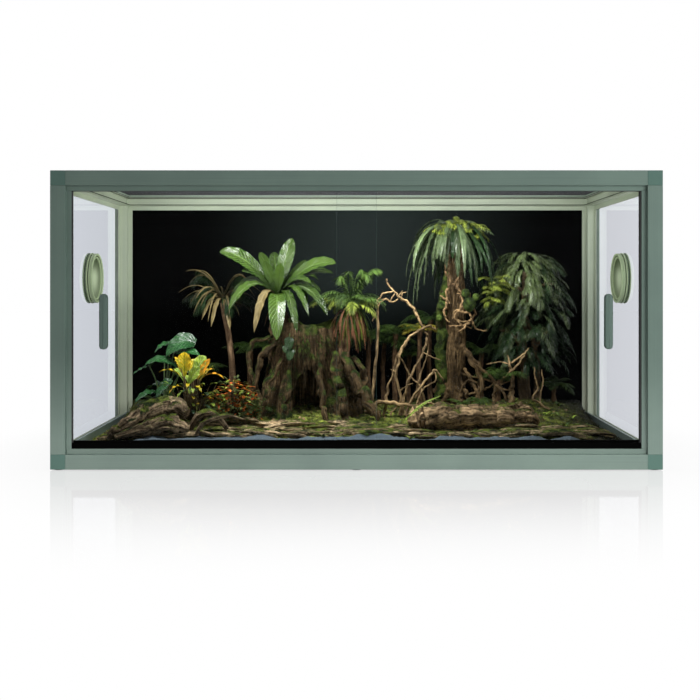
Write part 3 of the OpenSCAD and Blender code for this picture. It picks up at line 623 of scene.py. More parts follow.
@built_once
def ground_cover():
    """Dark crumbly soil under patches of moss, with painted shade towards the far right and the
    rear, and a bare strip along the front painted blue grey as a reflection.
    """
    material, tree, shader = start_material("soil and moss")
    place = object_place(tree)
    growth = use_group(tree, moss_cover, Amount=0.5, Patch_size=11.0)
    crumbs = noise_of(place, 260, 5, 0.7)
    soil = blended(tree, ramp(crumbs, 0.35, 0.7), (0.012, 0.009, 0.005), (0.085, 0.06, 0.032))
    fresh = blended(tree, ramp(growth["Tone"], 0.35, 0.68), (0.012, 0.02, 0.004),
                    (0.23, 0.27, 0.042))
    cover = dimmed(tree, blended(tree, growth["Mask"], soil, fresh))
    ragged = axes_of(place)[1] + noise_of(place, 14) * 0.02
    planted = ramp(ragged, FRONT_MARGIN + 9 * MM, FRONT_MARGIN + 11 * MM)
    # painted reflection: the bare strip along the front is blue grey, as a glossy dark floor would
    # show it
    fill(shader, {"Base Color": blended(tree, planted, (0.09, 0.12, 0.14), cover),
                  "Normal": bumped(crumbs + growth["Height"], 3 * MM, 0.9),
                  "Roughness": 0.92, "Specular IOR Level": 0.2})
    return material


@built_once
def speckled(name, dark, light):
    """Small things on the ground, each of its own tone, with painted shade towards the far right
    and the rear.
    """
    material, tree, shader = start_material(name)
    grain = noise_of(object_place(tree), 300, 3)
    level = (tone_of(tree) * 0.8).maths("ADD", grain * 0.3, clamp=True)
    fill(shader, {"Base Color": dimmed(tree, blended(tree, level, dark, light)),
                  "Normal": bumped(grain, 0.5 * MM, 0.5), "Roughness": 0.8,
                  "Specular IOR Level": 0.3})
    return material


# ---------- Building shapes ----------


def unit(vectors):
    """Rows scaled to length one."""
    return vectors / np.maximum(np.linalg.norm(vectors, axis=-1, keepdims=True), 1e-9)


MAP_SPAN = 100  # mm of bark that one unit of its map covers


class Pile:
    """Gathers closed tubes of quads, in millimetres, into one mesh with a leaf map and a tone."""

    def __init__(self):
        self.points, self.corners, self.sizes, self.maps = [], [], [], []
        self.tones, self.slots = [], []
        self.count = 0

    def tube(self, rings, along, around, tone=0.5, slot=0):
        """Adds a tube through rings of points, closed round and at both ends."""
        rows, columns = rings.shape[:2]
        index = self.count + np.arange(rows * columns).reshape(rows, columns)
        step = np.roll(index, -1, axis=1)
        quads = np.stack([index[:-1], step[:-1], step[1:], index[1:]], axis=-1)
        low, high = np.meshgrid(along[:-1], around[:-1], indexing="ij")
        low_next, high_next = np.meshgrid(along[1:], around[1:], indexing="ij")
        u = np.stack([low, low, low_next, low_next], axis=-1)
        v = np.stack([high, high_next, high_next, high], axis=-1)
        caps = np.concatenate([index[0][::-1], index[-1]])
        cap_u = np.repeat([along[0], along[-1]], columns)
        cap_v = np.concatenate([around[:-1][::-1], around[:-1]])
        self.points.append(rings.reshape(-1, 3))
        self.corners += [quads.ravel(), caps]
        self.sizes.append(np.array([4] * ((rows - 1) * columns) + [columns] * 2))
        self.maps += [np.stack([u.ravel(), v.ravel()], 1), np.stack([cap_u, cap_v], 1)]
        self.tones.append(np.full(rows * columns, tone))
        self.slots.append(np.full((rows - 1) * columns + 2, slot))
        self.count += rows * columns

    def leaflets(self, bases, ways, sides, sizes, halves, tones, slot, curl):
        """Adds many small pointed leaflets at once, each a flat closed form of eight faces."""
        count, half_thick, widest, sag = len(bases), 0.2, 0.42, 0.18
        ways, sides = unit(ways), unit(sides)
        normals = np.cross(ways, sides)
        size = sizes[:, None]
        middle = bases + widest * size * ways - sag * curl * size * UP
        tip = bases + size * ways - curl * size * UP
        left, right = middle - halves[:, None] * sides, middle + halves[:, None] * sides
        points = np.stack([bases, left, tip, right, middle + half_thick * normals,
                           middle - half_thick * normals], 1)
        faces = np.array([[0, 1, 4], [1, 2, 4], [2, 3, 4], [3, 0, 4],
                          [1, 0, 5], [2, 1, 5], [3, 2, 5], [0, 3, 5]])
        index = self.count + 6 * np.arange(count)[:, None, None] + faces[None]
        corner_map = np.array([[0, 0.5], [0.4, 0], [1, 0.5], [0.4, 1], [0.4, 0.5], [0.4, 0.5]])
        self.points.append(points.reshape(-1, 3))
        self.corners.append(index.ravel())
        self.sizes.append(np.full(8 * count, 3))
        self.maps.append(np.tile(corner_map[faces].reshape(-1, 2), (count, 1)))
        self.tones.append(np.repeat(np.clip(tones, 0, 1), 6))
        self.slots.append(np.full(8 * count, slot))
        self.count += 6 * count

    def build(self, name, *materials, crease=50):
        """Makes the object; edges sharper than the crease, in degrees, stay sharp."""
        mesh = bpy.data.meshes.new(name)
        points = np.concatenate(self.points) * MM
        corners = np.concatenate(self.corners)
        sizes = np.concatenate(self.sizes)
        mesh.vertices.add(len(points))
        mesh.vertices.foreach_set("co", points.ravel())
        mesh.loops.add(len(corners))
        mesh.loops.foreach_set("vertex_index", corners.astype(np.int32))
        mesh.polygons.add(len(sizes))
        mesh.polygons.foreach_set("loop_start", np.cumsum(sizes) - sizes)
        mesh.update(calc_edges=True)
        layer = mesh.uv_layers.new(name="leaf")
        layer.data.foreach_set("uv", np.concatenate(self.maps).ravel())
        tone = mesh.attributes.new("tone", "FLOAT", "POINT")
        tone.data.foreach_set("value", np.concatenate(self.tones))
        mesh.shade_smooth()
        mesh.set_sharp_from_angle(angle=math.radians(crease))
        piece = placed(name, mesh, *materials)
        slots = np.concatenate(self.slots).astype(np.int32)
        mesh.polygons.foreach_set("material_index", slots)
        return piece


def placed(name, mesh, *materials):
    """An object at the origin that shows a mesh."""
    piece = bpy.data.objects.new(name, mesh)
    bpy.context.scene.collection.objects.link(piece)
    mesh.materials.clear()
    for material in materials:
        mesh.materials.append(material)
    return piece


def stand_for(piece, body, slot, *nodes):
    """Lets a piece ride on a body, in the place of its solids where there are any."""
    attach(piece, body)
    if nodes:
        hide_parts(*nodes)
    if slot in ("bark", "leaves", "soil"):
        piece["planting"] = True


def planted(pile, name, slot, node, *finishes, crease=50):
    """Makes the object of a pile of wood or leaves, in the place of its solid if it has one."""
    piece = pile.build(name, *[(leaf if finish in LEAVES else bark)(finish)
                               for finish in finishes], crease=crease)
    stand_for(piece, "cabinet", slot, *([node] if node else []))


def draws(seed):
    """A series of random draws, and its way to draw between two numbers."""
    chance = random.Random(seed)
    return chance, chance.uniform


def circled(turn, across, deep, up):
    """A step in one direction round the upright axis, with its own reach across and deep."""
    return np.array([across * math.cos(turn), deep * math.sin(turn), up])


def smooth_path(points, count):
    """Evenly numbered points on a smooth curve through the given ones."""
    given = np.asarray(points, float)
    held = np.vstack([2 * given[0] - given[1], given, 2 * given[-1] - given[-2]])
    spans = len(given) - 1
    path = []
    for place in np.linspace(0, spans, count):
        first = min(int(place), spans - 1)
        t = place - first
        a, b, c, d = held[first:first + 4]
        path.append(b + 0.5 * t * (c - a + t * (2 * a - 5 * b + 4 * c - d
                                                + t * (3 * (b - c) + d - a))))
    return np.array(path)


def tangents_of(path):
    """Direction of a path at each of its points."""
    return unit(np.gradient(path, axis=0))


def sides_along(path):
    """Sideways direction at each point of a path, carried along without twist."""
    ways = tangents_of(path)
    side = np.cross(ways[0], UP if abs(ways[0][2]) < 0.9 else np.array([0.0, 1.0, 0.0]))
    sides = []
    for way in ways:
        side = side - way * (side @ way)
        side = side / np.linalg.norm(side)
        sides.append(side)
    return np.array(sides)


def lengths_along(path):
    """Distance along a path from its start to each of its points."""
    return np.concatenate([[0], np.cumsum(np.linalg.norm(np.diff(path, axis=0), axis=1))])


def uneven(rows, columns, seed, soft=2):
    """Grid of soft random numbers, about minus one to one, that joins up round its columns."""
    grid = np.random.default_rng(seed).normal(size=(rows, columns))
    for _ in range(soft):
        grid = (grid + np.roll(grid, 1, 1) + np.roll(grid, -1, 1)) / 3
        held = np.vstack([grid[:1], grid, grid[-1:]])
        grid = (held[:-2] + held[1:-1] + held[2:]) / 3
    return grid / max(np.abs(grid).max(), 1e-6)


def limb(pile, points, radii, count=24, columns=8, knobs=0.12, seed=0, tone=0.5, slot=0,
         ridges=0, ridge=0.0, twist=0.0, wander=0.0):
    """Adds a limb through points, with radii spread along it, knobs and twisted ridges."""
    path = smooth_path(points, count)
    share = np.linspace(0, 1, count)
    radius = np.interp(share, np.linspace(0, 1, len(radii)), radii)
    if wander:
        path = path + wander * radius[:, None] * np.stack(
            [uneven(count, 9, seed + axis, 3)[:, 0] for axis in range(3)], 1) * 2
    side = sides_along(path)
    normal = np.cross(tangents_of(path), side)
    angle = np.arange(columns) * math.tau / columns
    skin = 1 + knobs * uneven(count, columns, seed)
    if ridges:
        skin = skin + ridge * np.sin(ridges * (angle[None] + twist * share[:, None]))
    reach = radius[:, None, None] * skin[..., None]
    rings = (path[:, None] + reach * np.cos(angle)[None, :, None] * side[:, None]
             + reach * np.sin(angle)[None, :, None] * normal[:, None])
    turn = max(math.tau * radius.mean() / MAP_SPAN, 0.04)
    pile.tube(rings, lengths_along(path) / MAP_SPAN, np.linspace(0, turn, columns + 1), tone, slot)


def limbs(pile, routes, seed, **style):
    """Adds a limb for each route and its radii, each with a seed of its own."""
    for number, (route, radii) in enumerate(routes):
        limb(pile, route, radii, seed=seed + number, **style)


def twig(pile, start, end, lift, radii, count, columns, knobs, seed, tone, slot):
    """Adds a thin stem from one point to another, bowed upwards by a lift."""
    start, end = np.asarray(start, float), np.asarray(end, float)
    limb(pile, [start, (start + end) / 2 + UP * lift, end], radii, count, columns, knobs=knobs,
         seed=seed, tone=tone, slot=slot)


def blade(pile, path, sides, widths, fold=0.2, thick=0.5, columns=5, tone=0.5, slot=0,
          ruffle=0.0, ruffles=5.0, phase=0.0):
    """Adds a closed leaf along a path, with half widths, a folded midrib and a ruffled rim."""
    ways = tangents_of(path)
    side = unit(sides - ways * np.sum(sides * ways, 1, keepdims=True))
    normal = np.cross(ways, side)
    lower = np.linspace(-1, 1, columns)
    across = np.concatenate([lower, lower[::-1][1:-1]])
    swell = 0.5 * thick * (1 - across ** 2)
    swell[:columns] *= -1
    share = np.linspace(0, 1, len(path))[:, None]
    lift = (fold * widths[:, None] * np.abs(across) + swell
            + ruffle * np.sin(math.tau * ruffles * share + phase + 2 * np.sign(across))
            * across ** 2 * np.minimum(widths[:, None] / (widths.max() + 1e-9), 1))
    rings = (path[:, None] + (widths[:, None] * across)[..., None] * side[:, None]
             + lift[..., None] * normal[:, None])
    pile.tube(rings, share[:, 0], (np.append(across, -1.0) + 1) / 2, tone, slot)


def arch(base, heading, length, rise, fall, rows=12, bend=0.0, ease=1.0):
    """Path and sides of a leaf that leaves at one slope and ends at another, in radians."""
    share = np.linspace(0, 1, rows)
    slope = rise + (fall - rise) * share ** ease
    turn = heading + bend * share
    ways = np.stack([np.cos(slope) * np.cos(turn), np.cos(slope) * np.sin(turn), np.sin(slope)], 1)
    steps = 0.5 * (ways[1:] + ways[:-1]) * length / (rows - 1)
    path = np.asarray(base, float) + np.vstack([np.zeros(3), np.cumsum(steps, axis=0)])
    return path, np.stack([-np.sin(turn), np.cos(turn), 0 * turn], 1)


def bow(base, tip, lift, rows=12, heading=None):
    """Path and sides of a leaf from its base to its tip, bowed upwards by a lift."""
    base, tip = np.asarray(base, float), np.asarray(tip, float)
    share = np.linspace(0, 1, rows)[:, None]
    middle = (base + tip) / 2 + UP * lift * 2
    path = (1 - share) ** 2 * base + 2 * share * (1 - share) * middle + share ** 2 * tip
    if heading is None:
        heading = math.atan2(tip[1] - base[1], tip[0] - base[0])
    side = np.array([-math.sin(heading), math.cos(heading), 0])
    return path, np.repeat(side[None], rows, axis=0)


def turned(path, sides, amount):
    """Sides of a leaf rolled about its length, to show more of its face to the front."""
    ways = tangents_of(path)
    normals = unit(np.cross(ways, sides) + amount * TOWARDS_FRONT)
    return unit(np.cross(normals, ways))


def leaf_widths(rows, half, base=0.12, widest=0.6, tip=0.03, sharp=0.5):
    """Half widths of a leaf: its base, its widest place and how sharply it ends."""
    share = np.linspace(0, 1, rows)
    rising = base + (1 - base) * np.sin(0.5 * math.pi * np.minimum(share / widest, 1)) ** 1.2
    falling = np.clip(1 - ((share - widest) / (1 - widest)) ** 2, 0, 1) ** sharp
    return half * np.maximum(np.where(share < widest, rising, falling), tip)


def frond(pile, chance, path, sides, leaflet, pairs, lean, droop, half, tone, slot, start, stalk,
          curl):
    """Adds a feathered frond: a stalk with pairs of leaflets that shorten to both ends."""
    rows = len(path)
    blade(pile, path, sides, np.linspace(stalk, 0.25 * stalk, rows), fold=0.0, thick=stalk,
          columns=3, tone=tone * 0.6, slot=slot)
    chances, sway = np.random.default_rng(chance.randrange(1 << 30)), 0.16
    share = np.linspace(start, 0.995, pairs)
    place = share * (rows - 1)
    first = np.minimum(place.astype(int), rows - 2)
    mix = (place - first)[:, None]
    spots = path[first] * (1 - mix) + path[first + 1] * mix
    ways = tangents_of(path)[first]
    flat = unit(sides[first] - ways * np.sum(sides[first] * ways, 1, keepdims=True))
    normals = np.cross(ways, flat)
    sizes = leaflet * np.maximum(np.sin(math.pi * np.minimum(0.12 + 0.86 * share, 0.985)),
                                 0.1) ** 0.65
    for hand in (-1, 1):
        angle = (lean + chances.uniform(-sway, sway, pairs))[:, None]
        hang = (droop + chances.uniform(-sway, sway, pairs))[:, None]
        out = unit(np.cos(angle) * ways + hand * np.sin(angle) * flat - hang * normals)
        size = sizes * chances.uniform(0.82, 1.12, pairs)
        pile.leaflets(spots, out, np.cross(normals, out) * hand, size, half * size + 0.35,
                      tone + chances.uniform(-0.2, 0.2, pairs), slot, curl)


def plume(pile, chance, start, turn, length, slopes, leaflet, pairs, tone, slot, half=0.09,
          lean=0.85, droop=0.35, ease=1.0, bend=0.3, rows=14, stalk=1.2):
    """Adds a feathered frond that leaves at one slope and ends at another."""
    path, sides = arch(np.asarray(start, float), turn, length, *slopes, rows,
                       chance.uniform(-bend, bend), ease)
    tone = min(max(tone + chance.uniform(-0.15, 0.15), 0), 1)
    frond(pile, chance, path, sides, leaflet, pairs, lean=lean, droop=droop, half=half, tone=tone,
          slot=slot, start=0.08, stalk=stalk, curl=0.3)


MOUNDS = (  # x, y, radius, height
    (-120, 50, 125, 16), (-60, -60, 90, 8), (225, 60, 105, 15), (400, 110, 120, 15),
    (290, -40, 90, 10), (-430, -120, 85, 14), (-330, -100, 80, 14), (-250, -110, 70, 8),
    (60, 60, 90, 8), (40, -150, 70, 6), (-500, 60, 90, 4))
BED_END = 33.0  # height of its ends, which are sunk inside the tray's end walls
BED_FRONT = TRAY_TOP / MM + 2
BED_REAR = BED_HIGH.z / MM
BED_HALF = 574.0  # half of its length
BED_NEAR, BED_FAR = -234.7, 265.0
SLOPE_NEAR, SLOPE_DEPTH = -184.7, 304.7


def ground_height(x, y):
    """Height of the planted ground: the bed's slope, with mounds and hummocks."""
    rise = min(max((y - SLOPE_NEAR) / SLOPE_DEPTH, 0), 1)
    height = BED_FRONT + (BED_REAR - BED_FRONT) * rise
    for mound_x, mound_y, radius, mound in MOUNDS:
        away = ((x - mound_x) ** 2 + (y - mound_y) ** 2) / radius ** 2
        height += mound * math.exp(-2 * away)
    from_end = BED_HALF - abs(x)
    falling = 90 - 0.28 * y  # the length over which an end falls, longer at the front
    inland = min(max(from_end / falling, 0), 1)
    height = BED_END + (height - BED_END) * inland * inland * (3 - 2 * inland)
    end_fade, near_fade, far_fade = 40, 14, 30  # how far from each side the hummocks fade out
    edge = min(1, from_end / end_fade, (y - BED_NEAR) / near_fade, (BED_FAR - y) / far_fade)
    relief = bpy.context.scene.planting_look.relief / MM
    per_mm, dimension, lacunarity, octaves = 0.022, 0.9, 2.1, 4
    bumps = noise.fractal(Vector((x, y, 3.0)) * per_mm, dimension, lacunarity, octaves)
    return height + max(edge, 0) * relief * bumps


def finish_node(node, material):
    """Gives a solid that is shown as it is its finish."""
    for entry in frame["nodes"][node].material_slots:
        entry.material = material


ONE_CORNER = 0.01 * MM  # corners closer than this are merged
ONE_FACE = math.radians(0.8)  # faces that meet at less than this are merged
ROUNDED_EDGE = math.radians(38)  # edges sharper than this are rounded


def softened(node, name, slot, width, *materials, faces=None):
    """A merged copy of a solid with rounded edges, which takes the solid's place."""
    source = frame["nodes"][node]
    shell = bmesh.new()
    shell.from_mesh(source.data)
    bmesh.ops.remove_doubles(shell, verts=shell.verts, dist=ONE_CORNER)
    bmesh.ops.dissolve_limit(shell, angle_limit=ONE_FACE, verts=shell.verts, edges=shell.edges)
    mesh = bpy.data.meshes.new(name)
    mesh.from_pydata([v.co.copy() for v in shell.verts], [],
                     [[v.index for v in face.verts] for face in shell.faces])
    shell.free()
    piece = placed(name, mesh, *materials)
    bevel = piece.modifiers.new("Rounded edges", "BEVEL")
    bevel.width = width
    bevel.segments = 2
    bevel.limit_method = "ANGLE"
    bevel.angle_limit = ROUNDED_EDGE
    bevel.use_clamp_overlap = False
    bevel.harden_normals = True
    mesh.shade_smooth()
    rounded = flattened(piece)
    if faces:
        for face in rounded.polygons:
            face.material_index = faces(face)
    stand_for(piece, source["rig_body"], slot, node)


def flattened(piece):
    """Turns a piece with its modifiers into a plain mesh."""
    seen = piece.evaluated_get(bpy.context.evaluated_depsgraph_get())
    mesh = bpy.data.meshes.new_from_object(seen)
    mesh.name = piece.name
    piece.modifiers.clear()
    piece.data = mesh
    return mesh


# ---------- Cabinet ----------


class TERRARIUM_OT_tubes(bpy.types.Operator):
    """Rounds and paints the aluminium tubes, the corner blocks and the feet"""

    bl_idname = "terrarium.tubes"
    bl_label = "Tubes and corner blocks"

    def execute(self, context):
        look = context.scene.cabinet_look
        axes = {"front_rail": 0, "rear_rail": 0, "left_rail": 1, "right_rail": 1, "post": 2}
        for node in frame["nodes"]:
            for ending, axis in axes.items():
                if node.endswith(ending):
                    softened(node, f"{node}_tube", "frame_paint", look.edge, powder_coat(axis))
        softened("corner_blocks", "corner_block_covers", "block_plastic", 1.2 * look.edge,
                 moulded("corner block plastic", tuple(look.block), 0.38, 0.15, 0.07))
        finish_node("frame_screws", zinc())
        softened("rubber_feet", "foot_pads", "black_rubber", 0.5 * MM,
                 moulded("foot rubber", (0.012, 0.012, 0.012), 0.75, 0.0, 0.3))
        return {"FINISHED"}


def pane_faces(node):
    """Chooses sheet or ground edge for a face of a pane, by the way it looks."""
    low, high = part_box(node)
    thin = min(range(3), key=lambda axis: high[axis] - low[axis])
    return lambda face: 0 if abs(face.normal[thin]) > 0.99 else 1


def seal_cords():
    """Dark cords in the two grooves that run round the inside of the top rails, which paint the
    shadow lines there.
    """
    gap = 2.5
    side, rear = FRAME_HIGH.x / MM - 40, FRAME_HIGH.y / MM - 40
    pile = Pile()
    for level in (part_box("lid_gasket")[0].z / MM - gap, PANEL_HIGH.z / MM + gap):
        for start, end in (((-side, rear), (side, rear)), ((-side, -rear), (-side, rear)),
                           ((side, -rear), (side, rear))):
            limb(pile, [(*start, level), (*end, level)], [1.1], 2, 8, knobs=0)
    # painted shadow: a dark olive cord stands in for the shadow in each groove
    cord = moulded("seal cord", (0.055, 0.07, 0.042), 0.7, 0.0, 0.1)
    stand_for(pile.build("rail_seal_cords", cord), "cabinet", "black_rubber")


class TERRARIUM_OT_glazing(bpy.types.Operator):
    """Makes the end panes, the doors and the sheets behind and below"""

    bl_idname = "terrarium.glazing"
    bl_label = "Glass and sheets"

    def execute(self, context):
        # painted shade: the left end pane's tint is darker than the right's, though both are the
        # same glass
        for side, tint in (("left", (0.925, 0.94, 0.972)), ("right", (0.955, 0.963, 0.99))):
            for node, piece, glass in (
                    (f"{side}_side_glass", f"{side}_end_pane", clear_glass(1.62, tint)),
                    (f"{side}_door_glass", f"{side}_door_pane", clear_glass(1.08))):
                softened(node, piece, "clear_glass", 0.35 * MM, glass, glass_edge(),
                         faces=pane_faces(node))
        softened("rear_panel", "rear_sheet", "black_sheet", 0.3 * MM, rear_sheet())
        finish_node("glazing_strips",
                    moulded("glazing silicone", (0.30, 0.33, 0.28), 0.5, 0.1, 0.1))
        seal_cords()
        finish_node("floor_panel", moulded("floor sheet", (0.03, 0.03, 0.03), 0.6, 0.0, 0.2))
        softened("base_tray", "planting_tray", "tray_plastic", 0.4 * MM,
                 moulded("tray plastic", (0.21, 0.27, 0.245), 0.42, 0.1, 0.1))
        return {"FINISHED"}


def door_shoes(material):
    """Black strips that edge the bottom of each door, just above the track."""
    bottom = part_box("lower_door_track")[1].z / MM + 0.5
    top, lap = bottom + 3.2, 0.4
    for side in ("left", "right"):
        low, high = (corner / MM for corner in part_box(f"{side}_door_glass"))
        corners = np.array([(low.y - lap, bottom), (high.y + lap, bottom),
                            (high.y + lap, top), (low.y - lap, top)])
        middle = corners.mean(axis=0)
        rings = np.array([[(x, *(middle + share * (corner - middle))) for corner in corners]
                          for x, share in ((low.x, 0), (low.x, 1), (high.x, 1), (high.x, 0))])
        pile = Pile()
        pile.tube(rings, np.array([0, 0, 1, 1]), np.linspace(0, 1, 5))
        stand_for(pile.build(f"{side}_door_shoe", material, crease=30), f"{side}_door",
                  "black_rubber")


class TERRARIUM_OT_door_gear(bpy.types.Operator):
    """Makes the door tracks, the seals, the handles and their pads"""

    bl_idname = "terrarium.door_gear"
    bl_label = "Tracks, seals and handles"

    def execute(self, context):
        channel = moulded("track plastic", (0.0008, 0.0009, 0.0008), 0.6, 0.0, 0.15, 0.02)
        softened("lower_door_track", "lower_channel", "track_plastic", 0.35 * MM, channel)
        softened("upper_door_track", "upper_channel", "track_plastic", 0.35 * MM,
                 moulded("upper track plastic", (0.05, 0.065, 0.055), 0.4, 0.1, 0.15))
        softened("door_jamb_seals", "jamb_seals", "black_rubber", 0.3 * MM,
                 moulded("seal rubber", (0.02, 0.021, 0.02), 0.6, 0.0, 0.2))
        door_shoes(channel)
        grip = moulded("handle coat", (0.10, 0.155, 0.13), 0.36, 0.1, 0.06)
        pad = moulded("handle pad", (0.02, 0.02, 0.02), 0.6, 0.0, 0.2)
        for side in ("left", "right"):
            softened(f"{side}_door_handle", f"{side}_grip", "block_plastic", 2.0 * MM, grip)
            finish_node(f"{side}_handle_pad", pad)
        return {"FINISHED"}


def vent_cap(side, cover):
    """The pull-off cap: a turned rim round a stepped, hollow dish."""
    node = f"{side}_vent_cap"
    low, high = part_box(node)
    inward = 1 if side == "left" else -1
    seat = (low.x if side == "left" else high.x) / MM
    deep = (high.x - low.x) / MM
    rim = (high.y - low.y) / 2 / MM
    middle = (low + high) / 2 / MM
    columns = 72
    profile = np.array([  # out from the middle, share of the depth
        (0.5, 0.0), (rim - 0.8, 0.0), (rim, 0.08), (rim, 0.42), (rim - 0.7, 0.46),
        (rim - 0.7, 0.52), (rim, 0.56), (rim, 0.92), (rim - 0.8, 1.0), (rim - 3.4, 1.0),
        (rim - 4.4, 0.94), (rim - 4.8, 0.82), (rim - 7.4, 0.76), (rim - 8.2, 0.62),
        (rim - 10, 0.40), (rim - 13, 0.25), (rim - 18, 0.14), (12, 0.10), (0.5, 0.09)])
    angle = np.arange(columns) * math.tau / columns
    rings = np.stack([np.full((len(profile), columns), seat)
                      + inward * deep * profile[:, 1:],
                      middle.y + profile[:, :1] * np.cos(angle),
                      middle.z + inward * profile[:, :1] * np.sin(angle)], axis=-1)
    pile = Pile()
    pile.tube(rings, np.linspace(0, 1, len(profile)), np.linspace(0, 1, columns + 1))
    piece = pile.build(f"{node}_cover", cover,
                       dish_plastic(middle.y * MM, middle.z * MM, rim * MM), crease=32)
    # the dish's faces take the material with painted shade
    dish_radius, dish_floor = rim - 5, -0.44 * deep
    for face in piece.data.polygons:
        off = face.center / MM - middle
        if math.hypot(off.y, off.z) < dish_radius and off.x * inward > dish_floor:
            face.material_index = 1
    stand_for(piece, frame["nodes"][node]["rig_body"], "vent_plastic", node)


def vent_wires():
    """Crossed wires over the inner and the outer face of each vent's disc."""
    pitch, wire, apart, margin = 3.0, 0.3, 0.12, 0.4
    low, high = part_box("vent_mesh_discs")
    radius = (high.y - low.y) / 2 / MM
    middle = (low + high) / 2 / MM
    pile = Pile()
    for x in (low.x / MM + wire, high.x / MM - wire):
        for row in np.arange(-radius + 2, radius - 1, pitch):
            half = math.sqrt(radius ** 2 - row ** 2) - margin
            for axis in (1, 2):
                start = np.array([x + apart * (axis * 2 - 3), middle.y, middle.z])
                start[3 - axis] += row
                reach = np.zeros(3)
                reach[axis] = half
                limb(pile, [start - reach, start + reach], [wire], 2, 4, knobs=0)
    stand_for(pile.build("vent_wire_discs", wire_black()), "cabinet", "mesh_metal",
              "vent_mesh_discs")


class TERRARIUM_OT_vents(bpy.types.Operator):
    """Makes the round vents in the end panes, with their wire discs"""

    bl_idname = "terrarium.vents"
    bl_label = "Vents"

    def execute(self, context):
        look = context.scene.cabinet_look
        cover = moulded("vent plastic", tuple(look.vent), 0.4, 0.12, 0.06)
        for side in ("left", "right"):
            for part in ("sleeve", "nut"):
                softened(f"{side}_vent_{part}", f"{side}_vent_{part}_cover", "vent_plastic",
                         0.5 * MM, cover)
            vent_cap(side, cover)
        finish_node("vent_rubber_rings",
                    moulded("vent rubber", (0.015, 0.015, 0.015), 0.7, 0.0, 0.2))
        vent_wires()
        return {"FINISHED"}


class TERRARIUM_OT_lid(bpy.types.Operator):
    """Makes the lid's bars and the woven wires between them"""

    bl_idname = "terrarium.lid"
    bl_label = "Lid"

    def execute(self, context):
        look = context.scene.cabinet_look
        # painted light: the bars are lighter than the frame's outer paint, like the inner paint
        bars = moulded("lid bar coat", (0.32, 0.41, 0.31), 0.42, 0.05, 0.08)
        for node in ("lid_long_bars", "lid_short_bars"):
            softened(node, f"{node}_cover", "frame_paint", 0.4 * MM, bars)
        finish_node("lid_corner_keys", zinc())
        rubber = moulded("spline rubber", (0.02, 0.02, 0.02), 0.65, 0.0, 0.2)
        finish_node("lid_spline", rubber)
        finish_node("lid_gasket", rubber)
        low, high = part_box("lid_mesh")
        wires = node_made("lid_wires", wire_weave(), wire_black(),
                          Width=high.x - low.x - look.wire, Depth=high.y - low.y - look.wire,
                          Height=(low.z + high.z) / 2, Pitch=look.mesh_pitch, Wire=look.wire)
        stand_for(wires, "lid", "mesh_metal", "lid_mesh")
        return {"FINISHED"}


def node_made(name, tree, material, **inputs):
    """A piece that a Geometry Nodes tree makes from its named inputs."""
    piece = placed(name, bpy.data.meshes.new(name), material)
    modifier = piece.modifiers.new(name, "NODES")
    modifier.node_group = tree
    keys = {item.name: item.identifier for item in tree.interface.items_tree
            if item.item_type == "SOCKET" and item.in_out == "INPUT"}
    for key, value in {"Material": material, **inputs}.items():
        modifier[keys[key]] = value
    flattened(piece)
    return piece


def geometry_tree(name, **inputs):
    """A Geometry Nodes tree with its named inputs, as values, and its node for the result."""
    tree = bpy.data.node_groups.new(name, "GeometryNodeTree")
    tree.interface.new_socket("Geometry", in_out="INPUT", socket_type="NodeSocketGeometry")
    for socket_name, kind in inputs.items():
        tree.interface.new_socket(socket_name, in_out="INPUT", socket_type=f"NodeSocket{kind}")
    tree.interface.new_socket("Geometry", in_out="OUTPUT", socket_type="NodeSocketGeometry")
    return tree, named_values(add(tree, "NodeGroupInput")), add(tree, "NodeGroupOutput")


@built_once
def wire_weave():
    """Two layers of straight wires that cross, one a wire's thickness above the other."""
    tree, given, out = geometry_tree("Wire weave", Width="Float", Depth="Float", Height="Float",
                                     Pitch="Float", Wire="Float", Material="Material")
    sides, pitch, wire = (given["Width"], given["Depth"]), given["Pitch"], given["Wire"]
    join = add(tree, "GeometryNodeJoinGeometry")
    for along, across, layer in ((0, 1, -0.25), (1, 0, 0.25)):
        count = (sides[across] / pitch).maths("FLOOR")
        start = vector_of(tree, {across: (count - 1.0) * (pitch * -0.5),
                                 2: given["Height"] + wire * layer})
        line = value_of(tree, "GeometryNodeMeshLine", {
            "Count": count, "Start Location": start, "Offset": vector_of(tree, {across: pitch})})
        size = vector_of(tree, {along: sides[along], across: wire, 2: wire * 0.7})
        bar = value_of(tree, "GeometryNodeMeshCube", {"Size": size})
        fill(join, {0: value_of(tree, "GeometryNodeInstanceOnPoints",
                                {"Points": line, "Instance": bar})})
    plain = value_of(tree, "GeometryNodeRealizeInstances", {0: Value(join.outputs[0])})
    fill(out, {0: value_of(tree, "GeometryNodeSetMaterial",
                           {0: plain, "Material": given["Material"]})})
    return tree


# ---------- Ground ----------


